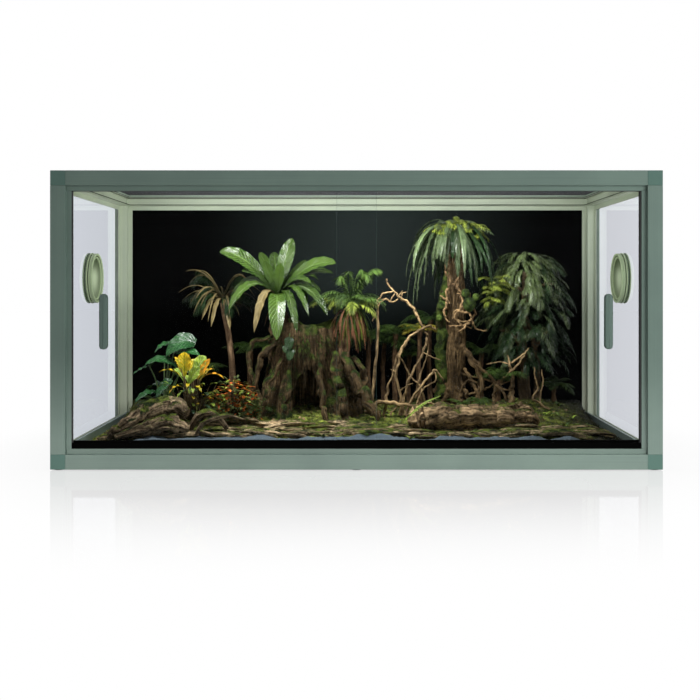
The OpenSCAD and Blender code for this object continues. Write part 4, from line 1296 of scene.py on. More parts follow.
def soil_bed():
    """The bed's block, with the planted ground as its upper side."""
    low, high = BED_LOW / MM, BED_HIGH / MM
    rows, columns = 126, 288
    top = [(x, y, ground_height(x, y)) for y in np.linspace(low.y, high.y, rows)
           for x in np.linspace(low.x, high.x, columns)]
    rim = (list(range(columns))
           + [i * columns + columns - 1 for i in range(1, rows)]
           + [(rows - 1) * columns + j for j in range(columns - 2, -1, -1)]
           + [i * columns for i in range(rows - 2, 0, -1)])
    foot = [(*top[index][:2], low.z) for index in rim]
    quads = [(i * columns + j, i * columns + j + 1, (i + 1) * columns + j + 1,
              (i + 1) * columns + j) for i in range(rows - 1) for j in range(columns - 1)]
    first, around = len(top), len(rim)
    skirt = [(rim[k], first + k, first + (k + 1) % around, rim[(k + 1) % around])
             for k in range(around)]
    mesh = bpy.data.meshes.new("soil_bed")
    mesh.from_pydata([tuple(c * MM for c in point) for point in top + foot], [],
                     quads + skirt + [tuple(range(first + around - 1, first - 1, -1))])
    mesh.shade_smooth()
    mesh.set_sharp_from_angle(angle=math.radians(60))
    soil = placed("soil_bed", mesh, ground_cover())
    stand_for(soil, "cabinet", "soil", "substrate_bed")
    return soil


class TERRARIUM_OT_ground(bpy.types.Operator):
    """Shapes the planted ground and strews moss, fallen leaves and crumbs over it"""

    bl_idname = "terrarium.ground"
    bl_label = "Ground and moss"

    def execute(self, context):
        look = context.scene.planting_look
        soil = soil_bed()
        strewn = (  # name, shape, material, count, smallest, largest, tilt, seed
            ("moss_tufts", moss_tuft(), speckled("moss", (0.012, 0.022, 0.004),
                                                 (0.24, 0.28, 0.05)),
             look.tufts, 0.55, 1.25, 0.4, 3),
            ("leaf_litter", fallen_leaf(), speckled("fallen leaves", (0.045, 0.024, 0.010),
                                                    (0.33, 0.22, 0.10)),
             look.litter, 0.4, 1.1, 0.9, 5),
            ("soil_crumbs", crumb(), speckled("crumbs", (0.02, 0.014, 0.008),
                                              (0.22, 0.18, 0.12)),
             look.crumbs, 0.4, 1.6, 3.0, 8))
        for name, shape, material, count, small, large, tilt, seed in strewn:
            pieces = node_made(name, strew(), material, Ground=soil, Shape=shape, Count=count,
                               Smallest=small, Largest=large, Tilt=tilt, Seed=seed)
            stand_for(pieces, "cabinet", "leaves" if name == "moss_tufts" else "bark")
            bpy.data.objects.remove(shape)
        return {"FINISHED"}


def moss_tuft():
    """Source shape of a tuft: a few leaning spikes."""
    pile = Pile()
    between = random.Random(11).uniform
    spikes = 5
    for spike in range(spikes):
        heading = spike * math.tau / spikes + between(-0.4, 0.4)
        lean = between(0.2, 1.0)
        height = between(3.0, 6.0)
        base = circled(heading, 1, 1, -0.6)
        tip = base + height * circled(heading, lean, lean, 1)
        limb(pile, [base, tip], [0.75, 0.1], 2, 3, knobs=0)
    return pile.build("tuft_shape")


def fallen_leaf():
    """Source shape of a fallen leaf, curled."""
    pile = Pile()
    path, sides = arch((-5, 0, 1.2), 0, 11, 0.5, -0.7, 5)
    blade(pile, path, sides, np.array([0.6, 2.6, 3.2, 2.2, 0.3]), fold=0.35, thick=0.3, columns=3)
    return pile.build("leaf_shape")


def crumb():
    """Source shape of a crumb or small pebble."""
    pile = Pile()
    limb(pile, [(-1.4, 0, 0.3), (0, 0.2, 0.6), (1.4, 0, 0.2)], [0.5, 1.3, 0.5], 4, 5, knobs=0.3,
         seed=4)
    return pile.build("crumb_shape")


@built_once
def strew():
    """Copies of a shape over the upper side of the ground, each turned, sized and toned."""
    tree, given, out = geometry_tree(
        "Strew", Ground="Object", Shape="Object", Count="Int", Smallest="Float",
        Largest="Float", Tilt="Float", Seed="Int", Material="Material")
    ground, shape = (value_of(tree, "GeometryNodeObjectInfo", {"Object": given[name]},
                              "Geometry") for name in ("Ground", "Shape"))
    upward = axes_of(value_of(tree, "GeometryNodeInputNormal"))[2]
    place = value_of(tree, "GeometryNodeInputPosition")
    steepest = 0.4  # nothing lies where the ground's normal points up by less than this
    planted_part = (upward.maths("GREATER_THAN", steepest)
                    * axes_of(place)[1].maths("GREATER_THAN", FRONT_MARGIN))
    patches = value_of(tree, "ShaderNodeTexNoise", {"Scale": 16.0, "Detail": 3.0, "Vector": place})
    area = 1.15 * 0.5  # of the bed, in square metres
    density = ramp(patches, 0.42, 0.6, 0.25, 1.0) * (given["Count"] / area)
    points = value_of(tree, "GeometryNodeDistributePointsOnFaces", {
        "Mesh": ground, "Selection": planted_part, "Density": density, "Seed": given["Seed"]})
    turn = value_of(tree, "FunctionNodeRandomValue",
                    {0: (0.0, 0.0, 0.0), 1: (1.0, 1.0, math.tau), "Seed": given["Seed"]},
                    data_type="FLOAT_VECTOR")
    tilt = vector_of(tree, {0: given["Tilt"], 1: given["Tilt"], 2: 1.0})
    rotation = value_of(tree, "ShaderNodeVectorMath", {0: turn, 1: tilt}, operation="MULTIPLY")
    size = value_of(tree, "FunctionNodeRandomValue",
                    {2: given["Smallest"], 3: given["Largest"], "Seed": given["Seed"]}, 1,
                    data_type="FLOAT")
    copies = value_of(tree, "GeometryNodeInstanceOnPoints", {
        "Points": points, "Instance": shape, "Rotation": rotation, "Scale": size})
    shade = value_of(tree, "FunctionNodeRandomValue", {2: 0.0, 3: 1.0, "Seed": 77}, 1,
                     data_type="FLOAT")
    shaded = value_of(tree, "GeometryNodeStoreNamedAttribute",
                      {"Geometry": copies, "Name": "shade", "Value": shade},
                      data_type="FLOAT", domain="INSTANCE")
    plain = value_of(tree, "GeometryNodeRealizeInstances", {0: shaded})
    own_shade = value_of(tree, "GeometryNodeInputNamedAttribute", {"Name": "shade"},
                         data_type="FLOAT")
    toned = value_of(tree, "GeometryNodeStoreNamedAttribute",
                     {"Geometry": plain, "Name": "tone", "Value": own_shade},
                     data_type="FLOAT", domain="POINT")
    fill(out, {0: value_of(tree, "GeometryNodeSetMaterial",
                           {0: toned, "Material": given["Material"]})})
    return tree


# ---------- Wood ----------


def seated(x, y, sink=4):
    """A point just below the ground at a place."""
    return np.array([x, y, ground_height(x, y) - sink])


def hollowed(points):
    """Pushes the skin back where the cave's mouth is."""
    x, y, z = points.T
    centre, foot, crown = -114.0, 60.0, 176.0
    half = 33 * np.sqrt(np.clip((crown - z) / 60, 0, 1))
    off = np.abs(x - centre + 5 * np.sin(z / 15) + 3 * np.sin(z / 6)) / np.maximum(half, 0.1)
    deep = np.clip((1.08 - off) / 0.22, 0, 1) * (y < 40) * (z > foot - 40)
    deep = deep * deep * (3 - 2 * deep) * (half > 1)
    return np.column_stack([x, y + deep * (62 - y) * 0.93, z])


def stump_roots(pile):
    """Adds the roots that run down its sides."""
    routes = (
        ([(-178, 6, 236), (-214, 4, 214), (-226, 0, 170), (-236, -6, 110), (-252, -22, 70)],
         [6, 8, 7, 6, 5]),
        ([(-196, 20, 250), (-238, 24, 236), (-246, 20, 190), (-232, 10, 140),
          (-216, -16, 66)], [4, 5.5, 6, 5.5, 5]),
        ([(-168, -10, 200), (-196, -30, 150), (-204, -42, 110), (-226, -56, 66)],
         [5, 7, 7, 6]),
        ([(-30, 0, 220), (-16, -18, 178), (6, -24, 136), (30, -42, 98), (58, -60, 66)],
         [9, 12, 13, 11, 6]),
        ([(-52, -16, 216), (-48, -40, 170), (-34, -62, 120), (-24, -80, 62)],
         [7, 9, 10, 8]),
        ([(-6, 20, 210), (14, 18, 160), (22, 6, 110), (40, 2, 66)], [6, 8, 8, 8]),
        ([(-86, -26, 190), (-80, -44, 150), (-76, -52, 110), (-62, -76, 62)],
         [5, 6, 7, 6]),
        ([(-150, -30, 176), (-152, -50, 130), (-160, -58, 96), (-168, -80, 60)],
         [4, 6, 6, 5]),
        ([(-120, 160, 190), (-110, 172, 120), (-104, 190, 74)], [8, 10, 10]))
    limbs(pile, routes, 40, count=44, columns=12, knobs=0.3, ridges=3, ridge=0.12, twist=4.0,
          wander=0.5)


class TERRARIUM_OT_stump(bpy.types.Operator):
    """Makes the hollow cork stump, with its lobes, roots and cave"""

    bl_idname = "terrarium.stump"
    bl_label = "Cork stump"

    middle = np.array([-120.0, 62.0])
    lobes = ((90, -34, 0.72, 46, 30), (-62, -24, 0.66, 50, 22), (52, -40, 0.42, 44, 12),
             (-34, -62, 0.5, 34, 10))

    def execute(self, context):
        pile = Pile()
        rows, closing_rows, columns = 92, 9, 190
        foot, top = BED_LOW.z / MM + 4, STUMP_TOP
        angle = np.arange(columns) * math.tau / columns
        way = np.stack([np.cos(angle), np.sin(angle)], 1)
        coarse = uneven(rows, columns, 21, 14)
        rings = []
        for row in range(rows):
            share = min(row / (rows - closing_rows), 1)
            height = foot + (top - foot) * share
            reach = self.section(share, way)
            ridges = (4.0 * np.sin(9 * angle + 3.2 * share + 2.2 * np.sin(3 * angle))
                      + 2.4 * np.sin(23 * angle - 4 * share + 1.5 * np.sin(5 * angle)))
            reach = reach + ridges * (1.1 - 0.5 * share) + 7 * coarse[row]
            level = height + (9 * coarse[row] + 7 * np.sin(3 * angle + 1)) * share
            closing = max(row - (rows - closing_rows - 1), 0) / closing_rows
            if closing:
                reach = reach * (1 - closing) ** 0.8 * 0.97
                level = level - 16 * math.sin(math.pi * closing * 0.5) + 6 * np.sin(4 * angle)
            points = np.column_stack([self.middle + way * reach[:, None], level])
            rings.append(hollowed(points))
        mean_radius = 90
        girth = math.tau * mean_radius / MAP_SPAN
        pile.tube(np.array(rings), np.linspace(0, 2.4, rows), np.linspace(0, girth, columns + 1))
        stump_roots(pile)
        strands = np.random.default_rng(4)
        for strand in range(90):
            turn = strands.uniform(math.pi * 1.02, math.pi * 1.98)
            out = np.array([math.cos(turn), math.sin(turn)])
            reach = self.section(0.85, out[None])[0] + 6
            head = np.array([*(self.middle + reach * 0.8 * out), strands.uniform(210, top - 18)])
            fall = np.array([*(20 * out - (0, 4)), -strands.uniform(24, 110)])
            limb(pile, [head, head + fall * (0.9, 0.9, 0.3), head + fall], [1.2, 1.6, 0.6], 22, 5,
                 knobs=0.3, seed=strand, tone=0.4, wander=2.0)
        planted(pile, "hollow_stump", "bark", "cork_stump", "mossy cork")
        return {"FINISHED"}

    def section(self, share, way):
        """Distance from the middle to the skin, over the main body and its lobes."""
        body = 106 - 34 * share ** 0.75
        reach = np.full(len(way), body) ** 6
        for right, back, height, low_r, high_r in self.lobes:
            level = share / height
            if level >= 1:
                continue
            radius = (low_r + (high_r - low_r) * level) * math.sqrt(1 - level ** 6)
            centre = np.array([right, back])
            along = way @ centre
            inside = radius ** 2 - (centre @ centre - along ** 2)
            far = np.where(inside > 0, along + np.sqrt(np.maximum(inside, 0)), 1)
            reach = reach + np.maximum(far, 1) ** 6
        return reach ** (1 / 6)


def trunk_roots(pile):
    """Adds the roots that leave the trunk, and the tangle between them."""
    routes = (
        ([(236, 52, 232), (250, 42, 214), (264, 34, 190), (279, 26, 160), (286, 22, 116),
          (294, 18, 78)], [4, 6, 5, 5, 4, 5]),
        ([(244, 52, 222), (262, 36, 205), (281, 26, 184), (302, 20, 160), (330, 6, 128),
          (352, -10, 88)], [4, 4, 4, 3.5, 3, 3.5]),
        ([(244, 52, 176), (262, 38, 150), (278, 26, 120), (300, 14, 78)], [3, 4, 4, 3]),
        ([(214, 50, 130), (204, 40, 104), (192, 30, 76)], [5, 6, 6]),
        ([(232, 46, 130), (236, 30, 100), (240, 18, 74)], [5, 6, 5]),
        ([(240, 52, 150), (252, 32, 116), (266, 14, 76)], [3, 4, 4]),
        ([(208, 92, 170), (190, 112, 110), (178, 126, 76)], [7, 7, 6]),
        ([(246, 84, 190), (276, 96, 120), (300, 110, 76)], [6, 6, 6]),
        ([(346, 4, 128), (330, 16, 134), (306, 30, 146), (268, 40, 158), (240, 46, 164)],
         [1.5, 2.5, 2.4, 2.2, 2]),
        ([(318, 8, 150), (300, 16, 134), (284, 22, 132), (262, 30, 120), (244, 36, 124)],
         [1.2, 2.2, 2.4, 2.4, 2]),
        ([(262, 24, 84), (280, 30, 136), (252, 38, 146), (238, 34, 112), (256, 18, 76)],
         [2, 2.4, 2.4, 2.2, 2]),
        ([(326, -4, 82), (312, 10, 116), (330, 16, 140), (352, 24, 150)],
         [3, 2.6, 2.2, 1.2]))
    limbs(pile, routes, 60, count=44, columns=9, knobs=0.26, tone=0.6, ridges=3, ridge=0.1,
          twist=3.0, wander=0.8)


def trunk_vines():
    """Vines that wind round the trunk, and the balls of moss between them."""
    pile = Pile()
    routes = (
        [(206, 36, 356), (222, 32, 372), (236, 36, 352), (240, 34, 324), (226, 32, 300),
         (236, 30, 282), (262, 34, 268)],
        [(228, 36, 346), (254, 34, 352), (262, 36, 330), (250, 34, 306), (228, 32, 312),
         (220, 36, 292)],
        [(214, 36, 276), (236, 30, 272), (262, 34, 282), (276, 42, 266), (300, 50, 262)],
        [(238, 32, 318), (262, 32, 322), (272, 40, 300), (256, 38, 284), (232, 32, 288)],
        [(194, 44, 344), (206, 34, 330), (200, 34, 300), (212, 32, 282)],
        [(232, 30, 262), (254, 30, 280), (262, 32, 300), (240, 30, 310)],
        [(202, 34, 400), (214, 32, 378), (206, 32, 350), (212, 34, 326)],
        [(238, 34, 400), (228, 32, 372), (240, 32, 348)])
    limbs(pile, [(route, [1.8, 2.8, 2.4, 1.3]) for route in routes], 90, count=60, columns=8,
          knobs=0.25, tone=0.55, wander=0.8)
    balls = (  # x, y, z, size
        (258, 34, 322, 18), (250, 36, 346, 12), (196, 44, 318, 12), (274, 46, 338, 9),
        (190, 46, 290, 9))
    for number, (x, y, z, size) in enumerate(balls):
        limb(pile, [(x - size * 0.8, y, z), (x, y - 1, z + 2), (x + size * 0.8, y, z)],
             [size * 0.35, size * 0.9, size, size * 0.9, size * 0.35], 12, 16, seed=number,
             slot=1)
    planted(pile, "trunk_vines", "bark", None, "vine bark", "ball moss")


class TERRARIUM_OT_trunk(bpy.types.Operator):
    """Makes the tall fibrous trunk, its roots, the vines around it and its moss balls"""

    bl_idname = "terrarium.trunk"
    bl_label = "Tall trunk"

    def execute(self, context):
        pile = Pile()
        limb(pile, [seated(224, 66, 12), (226, 68, 150), (230, 70, 240), (232, 70, 330),
                    (226, 70, 400), (228, 70, TRUNK_TOP - 6)], [29, 20, 19, 20, 20, 18], 120, 64,
             knobs=0.16, seed=3, tone=0.6, ridges=9, ridge=0.12, twist=2.6)
        limb(pile, [seated(202, 72, 10), (200, 68, 150), (197, 66, 240), (204, 68, 330),
                    (214, 68, 400)], [17, 14, 14, 15, 9], 90, 34, knobs=0.24, seed=5, tone=0.25,
             slot=1, ridges=5, ridge=0.1, twist=2.0, wander=0.2)
        strands = np.random.default_rng(8)
        for strand in range(54):
            heading = strands.uniform(math.pi, 2.05 * math.pi)
            spread = strands.uniform(-0.6, 0.9)
            start, end = strands.uniform(66, 220), strands.uniform(230, TRUNK_TOP - 20)
            route = []
            for share in np.linspace(0, 1, 7):
                height = start + (end - start) * share
                girth = 20 + 12 * max(0, 1 - (height - 60) / 80) ** 2 + strands.uniform(-1, 2)
                turn = heading + spread * (share - 0.5)
                route.append((229, 68, 0) + circled(turn, girth, girth, height))
            limb(pile, route, [0.9, 2.8, 2.2, 0.8], 40, 6, knobs=0.3, seed=strand, tone=0.75,
                 wander=0.7)
        trunk_roots(pile)
        planted(pile, "fibrous_trunk", "bark", "tall_trunk", "fibrous bark", "mossy bark")
        trunk_vines()
        return {"FINISHED"}


class TERRARIUM_OT_branches(bpy.types.Operator):
    """Makes the bare, twisted branches between the stump and the trunk"""

    bl_idname = "terrarium.branches"
    bl_label = "Dead branches"

    def execute(self, context):
        pile = Pile()
        routes = (
            ([(66, 12, 384), (72, 12, 368), (86, 11, 352), (100, 10, 338), (114, 10, 329),
              (134, 10, 305), (143, 9, 286), (152, 8, 270)], [3.2, 3.0, 4.6, 5.2, 3.8]),
            ([(180, 18, 268), (162, 8, 273), (146, 2, 268), (120, -2, 250), (101, -3, 220),
              (95, -3, 194), (88, -2, 164), (100, 0, 118), (104, 4, 70)],
             [3.5, 4.6, 5.0, 4.6, 4.4, 5.5]),
            ([(152, 8, 270), (159, 8, 244), (150, 6, 216), (138, 6, 190), (120, 4, 158),
              (106, 4, 112), (98, 6, 68)], [3.8, 3.4, 4.0, 4.4, 6.0]),
            ([(92, 0, 216), (109, 3, 184), (124, 4, 158), (138, 2, 146), (150, -2, 120),
              (152, -6, 72)], [2.2, 2.8, 3.2, 4.2]),
            ([(109, -16, 76), (124, -14, 112), (142, -12, 138), (164, -10, 164),
              (176, -10, 177), (188, -8, 164), (196, -6, 150)], [5, 4.2, 3.6, 3.0, 2.4]),
            ([(176, -10, 174), (178, -12, 154), (160, -14, 142), (148, -14, 130),
              (134, -12, 96), (130, -12, 72)], [2.2, 2.6, 3.0, 4.2]),
            ([(36, 14, 286), (44, 14, 306), (52, 14, 326), (64, 14, 336), (82, 13, 330),
              (94, 12, 336)], [1.8, 2.8, 3.2, 2.4]),
            ([(28, 20, 70), (40, 20, 160), (46, 18, 230), (47, 18, 300), (45, 17, 330),
              (60, 15, 347), (84, 12, 354)], [6.5, 5.0, 4.2, 3.4, 3.0]),
            ([(100, 10, 338), (104, 9, 350), (112, 8, 352)], [2.4, 1.2]),
            ([(88, 11, 352), (80, 11, 340), (76, 10, 330)], [2.2, 1.2]),
            ([(96, 8, 345), (104, 10, 356)], [1.8, 0.9]),
            ([(120, -2, 250), (112, -8, 236), (108, -10, 226)], [2.2, 1.0]),
            ([(150, 6, 216), (172, 4, 204), (190, 6, 198)], [2.6, 1.2]),
            ([(88, -2, 170), (76, -4, 178)], [2.2, 1.1]),
            ([(97, 0, 128), (112, -6, 140), (126, -8, 146)], [2.4, 1.2]),
            ([(74, -12, 76), (88, -10, 92), (100, -8, 110)], [3.2, 2.0]),
            ([(120, -20, 74), (138, -20, 96), (160, -20, 104), (182, -18, 96)],
             [4.5, 3.6, 2.2]),
            ([(62, 4, 74), (70, 2, 130), (84, 2, 176), (92, 2, 214)], [5.0, 3.8, 2.6]),
            ([(134, 6, 112), (142, 8, 160), (158, 12, 200), (164, 14, 232)], [3.4, 2.6, 1.6]),
            ([(20, 8, 80), (54, -2, 104), (96, -14, 100), (146, -24, 92), (178, -30, 76)],
             [7.0, 6.5, 5.5, 4.5]),
            ([(414, 76, 178), (418, 74, 150), (422, 72, 126), (410, 68, 104), (446, 50, 80)],
             [2.2, 2.8, 3.2, 3.4]),
            ([(400, 62, 222), (388, 60, 208), (370, 58, 196), (354, 58, 187), (330, 56, 190),
              (300, 56, 184)], [1.6, 3.0, 3.2, 2.4, 1.6]),
            ([(312, 40, 80), (322, 46, 136), (345, 50, 159), (366, 52, 178), (388, 58, 206)],
             [5.0, 4.6, 3.8, 3.0]),
            ([(352, 40, 78), (356, 50, 120), (362, 54, 150), (354, 56, 184), (350, 56, 206)],
             [12, 9, 6, 4, 2.0]),
            ([(430, 60, 78), (426, 66, 108), (434, 70, 140), (432, 74, 172)],
             [2.6, 2.4, 2.2, 1.6]))
        for number, (route, radii) in enumerate(routes):
            limb(pile, route, 0.7 * np.array(radii), 16 + 10 * len(route), 8, knobs=0.28,
                 seed=120 + number, tone=0.6, wander=0.5)
        planted(pile, "bare_branches", "bark", "driftwood_branches", "bare wood")
        return {"FINISHED"}


def sloping_bark():
    """The curled pieces of bark that lean at the front left."""
    pile = Pile()
    limb(pile, [(-520, -196, 56), (-488, -190, 70), (-452, -184, 92), (-420, -178, 110),
                (-384, -172, 112), (-358, -170, 96)], [6, 17, 21, 21, 22, 12], 90, 50,
         knobs=0.38, seed=31, tone=0.7, ridges=6, ridge=0.06, twist=0.8, wander=0.1)
    limb(pile, [(-500, -214, 54), (-440, -206, 72), (-392, -200, 82), (-350, -196, 70)],
         [5, 14, 17, 8], 60, 36, knobs=0.38, seed=32, ridges=5, ridge=0.08, twist=0.5,
         wander=0.1)
    limb(pile, [(-420, -214, 66), (-398, -216, 74), (-372, -216, 72)], [1.5, 3.5, 1.5], 16, 8,
         knobs=0.2, seed=33, tone=1.0)
    limb(pile, [(-352, -170, 66), (-330, -176, 96), (-300, -180, 98), (-272, -176, 66)],
         [6, 8, 8, 5], 30, 14, knobs=0.2, seed=34, tone=0.4, ridges=4, ridge=0.08, twist=1.0)
    limb(pile, [(-334, -206, 60), (-318, -210, 82), (-292, -212, 94), (-262, -208, 98),
                (-236, -204, 90)], [3, 5, 5, 4, 2], 30, 10, knobs=0.2, seed=35, tone=0.8)
    planted(pile, "sloping_bark", "bark", None, "old bark")


def bark_flakes():
    """Flat flakes of bark and stone, laid one over another along the front."""
    pile = Pile()
    chance, between = draws(5)
    front, left, right, far_right = -199, -545, 560, 495
    spots = [(x + between(-14, 14), -197 + between(0, 16), 1.0) for x in range(-520, 530, 26)]
    spots += [(between(-540, 540), between(-200, -90), 1.3) for _ in range(170)]
    spots += [(132 + 60 * step, -188, 1.5) for step in range(-1, 3)]
    for number, (x, y, big) in enumerate(spots):
        length = between(36, 96) * big
        width = between(6, 13) * big
        thick = between(2.0, 4.4) * big
        turn = between(-0.5, 0.5)
        level = ground_height(x, y) + thick * 0.3 + between(-1, 8)
        way = np.array([math.cos(turn), 0.35 * math.sin(turn), between(-0.12, 0.12)])
        y = max(y, front + width * 0.5)
        x = min(max(x, left + length / 2), (far_right if y < -140 else right) - length / 2)
        bark_flake(pile, np.array([x, y, level]), way, length, width, thick, number,
                   chance.random())
    planted(pile, "bark_flakes", "bark", "bark_pieces", "flake bark", crease=40)


def bark_flake(pile, middle, way, length, width, thick, seed, tone):
    """Adds one flat, sagging flake that thins towards its ends."""
    rows, columns = 11, 12
    share = np.linspace(-1, 1, rows)
    path = middle + way * (length / 2) * share[:, None]
    path[:, 2] -= 0.05 * length * share ** 2
    angle = np.arange(columns) * math.tau / columns
    taper = np.maximum(1 - np.abs(share) ** 3, 0.12)
    skin = 1 + 0.3 * uneven(rows, columns, seed + 300, 1)
    side = unit(np.array([-way[1], way[0], 0.15 * math.sin(seed)]))
    normal = np.cross(unit(way), side)
    flat = np.sign(np.sin(angle)) * np.abs(np.sin(angle)) ** 0.6
    rings = (path[:, None]
             + (width * taper[:, None] * skin * np.cos(angle))[..., None] * side
             + (thick * taper[:, None] ** 0.4 * skin * flat)[..., None] * normal)
    pile.tube(rings, np.linspace(0, length / MAP_SPAN, rows),
              np.linspace(0, 0.03 * width, columns + 1), tone)


class TERRARIUM_OT_front_wood(bpy.types.Operator):
    """Makes the fallen log, the sloping bark and the bark flakes along the front"""

    bl_idname = "terrarium.front_wood"
    bl_label = "Log and bark"

    def execute(self, context):
        pile = Pile()
        limb(pile, [(128, -152, 80), (134, -150, 84), (180, -142, 86), (240, -134, 88),
                    (300, -124, 84), (352, -116, 80), (364, -114, 78)],
             [14, 26, 27, 25, 24, 19, 10], 110, 60, knobs=0.25, seed=9, tone=0.6, ridges=7,
             ridge=0.06, twist=1.2, wander=0.12)
        limb(pile, [(322, -128, 72), (350, -122, 84), (376, -112, 82), (392, -106, 68)],
             [12, 17, 14, 8], 40, 30, knobs=0.36, seed=12, tone=0.9, ridges=4, ridge=0.08,
             twist=1.0)
        limb(pile, [(244, -112, 74), (300, -84, 96), (352, -44, 96), (392, -10, 84)],
             [8, 14, 13, 9], 60, 30, knobs=0.34, seed=14, ridges=5, ridge=0.1, twist=2.0,
             wander=0.2)
        planted(pile, "fallen_log", "bark", "front_log", "weathered log")
        bark_flakes()
        sloping_bark()
        return {"FINISHED"}


# ---------- Leaves ----------


class TERRARIUM_OT_nest_fern(bpy.types.Operator):
    """Makes the glossy strap leaves on top of the stump"""

    bl_idname = "terrarium.nest_fern"
    bl_label = "Nest fern"

    leaves = (  # tip, lift, half width, tone, dry, roll towards the front
        ((-314, 22, 444), 26, 19, 0.5, 0, 1.5), ((-231, 118, 446), 8, 12, 0.7, 0, 1.0),
        ((-152, 74, 478), 6, 18, 0.6, 0, 0.0), ((-48, 12, 418), 26, 17.5, 0.9, 0, 1.1),
        ((-288, -26, 312), 44, 14, 0.7, 0, 0.5), ((-178, -50, 246), 44, 19.5, 0.95, 0, 0.0),
        ((-66, -18, 300), 44, 14, 0.2, 0, 0.5), ((-121, 112, 428), 4, 10, 0.8, 0, 1.0),
        ((-196, 96, 446), 8, 15, 0.15, 0, 0.0), ((-134, -36, 262), 48, 11, 0.3, 0, 0.2),
        ((-232, -10, 262), 50, 11, 0.5, 1, 0.3), ((-84, 60, 352), 30, 12, 0.3, 0, 0.6),
        ((-92, 130, 380), 30, 14, 0.3, 0, 0.8), ((-176, 186, 392), 34, 16, 0.4, 0, 0.0),
        ((-262, 134, 370), 34, 15, 0.3, 0, 0.8), ((-296, 70, 340), 40, 12, 0.2, 0, 0.6),
        ((-214, 172, 330), 46, 12, 0.3, 0, 0.0), ((-120, 168, 320), 46, 12, 0.3, 0, 0.0),
        ((-174, 20, 420), 2, 12, 0.85, 0, 0.0), ((-212, 20, 424), 4, 11, 0.4, 0, 0.3),
        ((-104, -6, 372), 24, 9, 0.4, 0, 0.8), ((-56, 66, 396), 24, 11, 0.25, 0, 0.9),
        ((-264, 30, 400), 20, 12, 0.25, 0, 1.0), ((-108, -30, 300), 44, 9, 0.55, 0, 0.4))

    def execute(self, context):
        pile = Pile()
        heart = np.array([-184.0, 46.0, 338.0])
        rows = 26
        for number, (tip, lift, half, tone, dry, roll) in enumerate(self.leaves):
            offset = np.array(tip, float) - heart
            base = heart + 7 * offset / np.linalg.norm(offset) + (0, 0, 4)
            heading = math.atan2(offset[1], offset[0])
            upright = offset[2] > 1.1 * math.hypot(offset[0], offset[1])
            if upright:  # it turns its face to the front
                heading = math.pi / 2 - 0.15 * math.copysign(1, offset[0])
            path, sides = bow(base, tip, lift, rows, heading)
            sides = turned(path, sides, roll)
            widths = leaf_widths(rows, half, base=0.22, widest=0.62, sharp=0.62)
            blade(pile, path, sides, widths, fold=0.24, thick=0.8, columns=11, tone=tone, slot=dry,
                  ruffle=1.3, ruffles=6.5, phase=number * 1.7)
            blade(pile, path - (0, 0, 0.5), sides, np.linspace(1.8, 0.4, rows), fold=-0.5,
                  thick=1.5, columns=3, tone=1.0, slot=dry)
        limb(pile, [(-178, 50, STUMP_TOP - 22), (-182, 48, 300), heart + (0, 0, 8)], [24, 17, 11],
             20, 20, knobs=0.25, seed=5, tone=0.3, slot=2, ridges=5, ridge=0.15, twist=2.0)
        strands = random.Random(9)
        for strand in range(26):
            turn = strands.uniform(0, math.tau)
            out = 11 + 8 * strands.random()
            foot = heart + circled(turn, 1.6 * out, 1.6 * out, -strands.uniform(45, 78))
            limb(pile, [heart + circled(turn, 8, 8, 4), heart + circled(turn, out, out, -26),
                        foot], [2.0, 1.5, 0.7], 10, 5, knobs=0.3, seed=strand, tone=0.4, slot=2)
        planted(pile, "nest_fern", "leaves", "birds_nest_fern", "nest fern leaf", "dry leaf",
                "fern root")
        return {"FINISHED"}


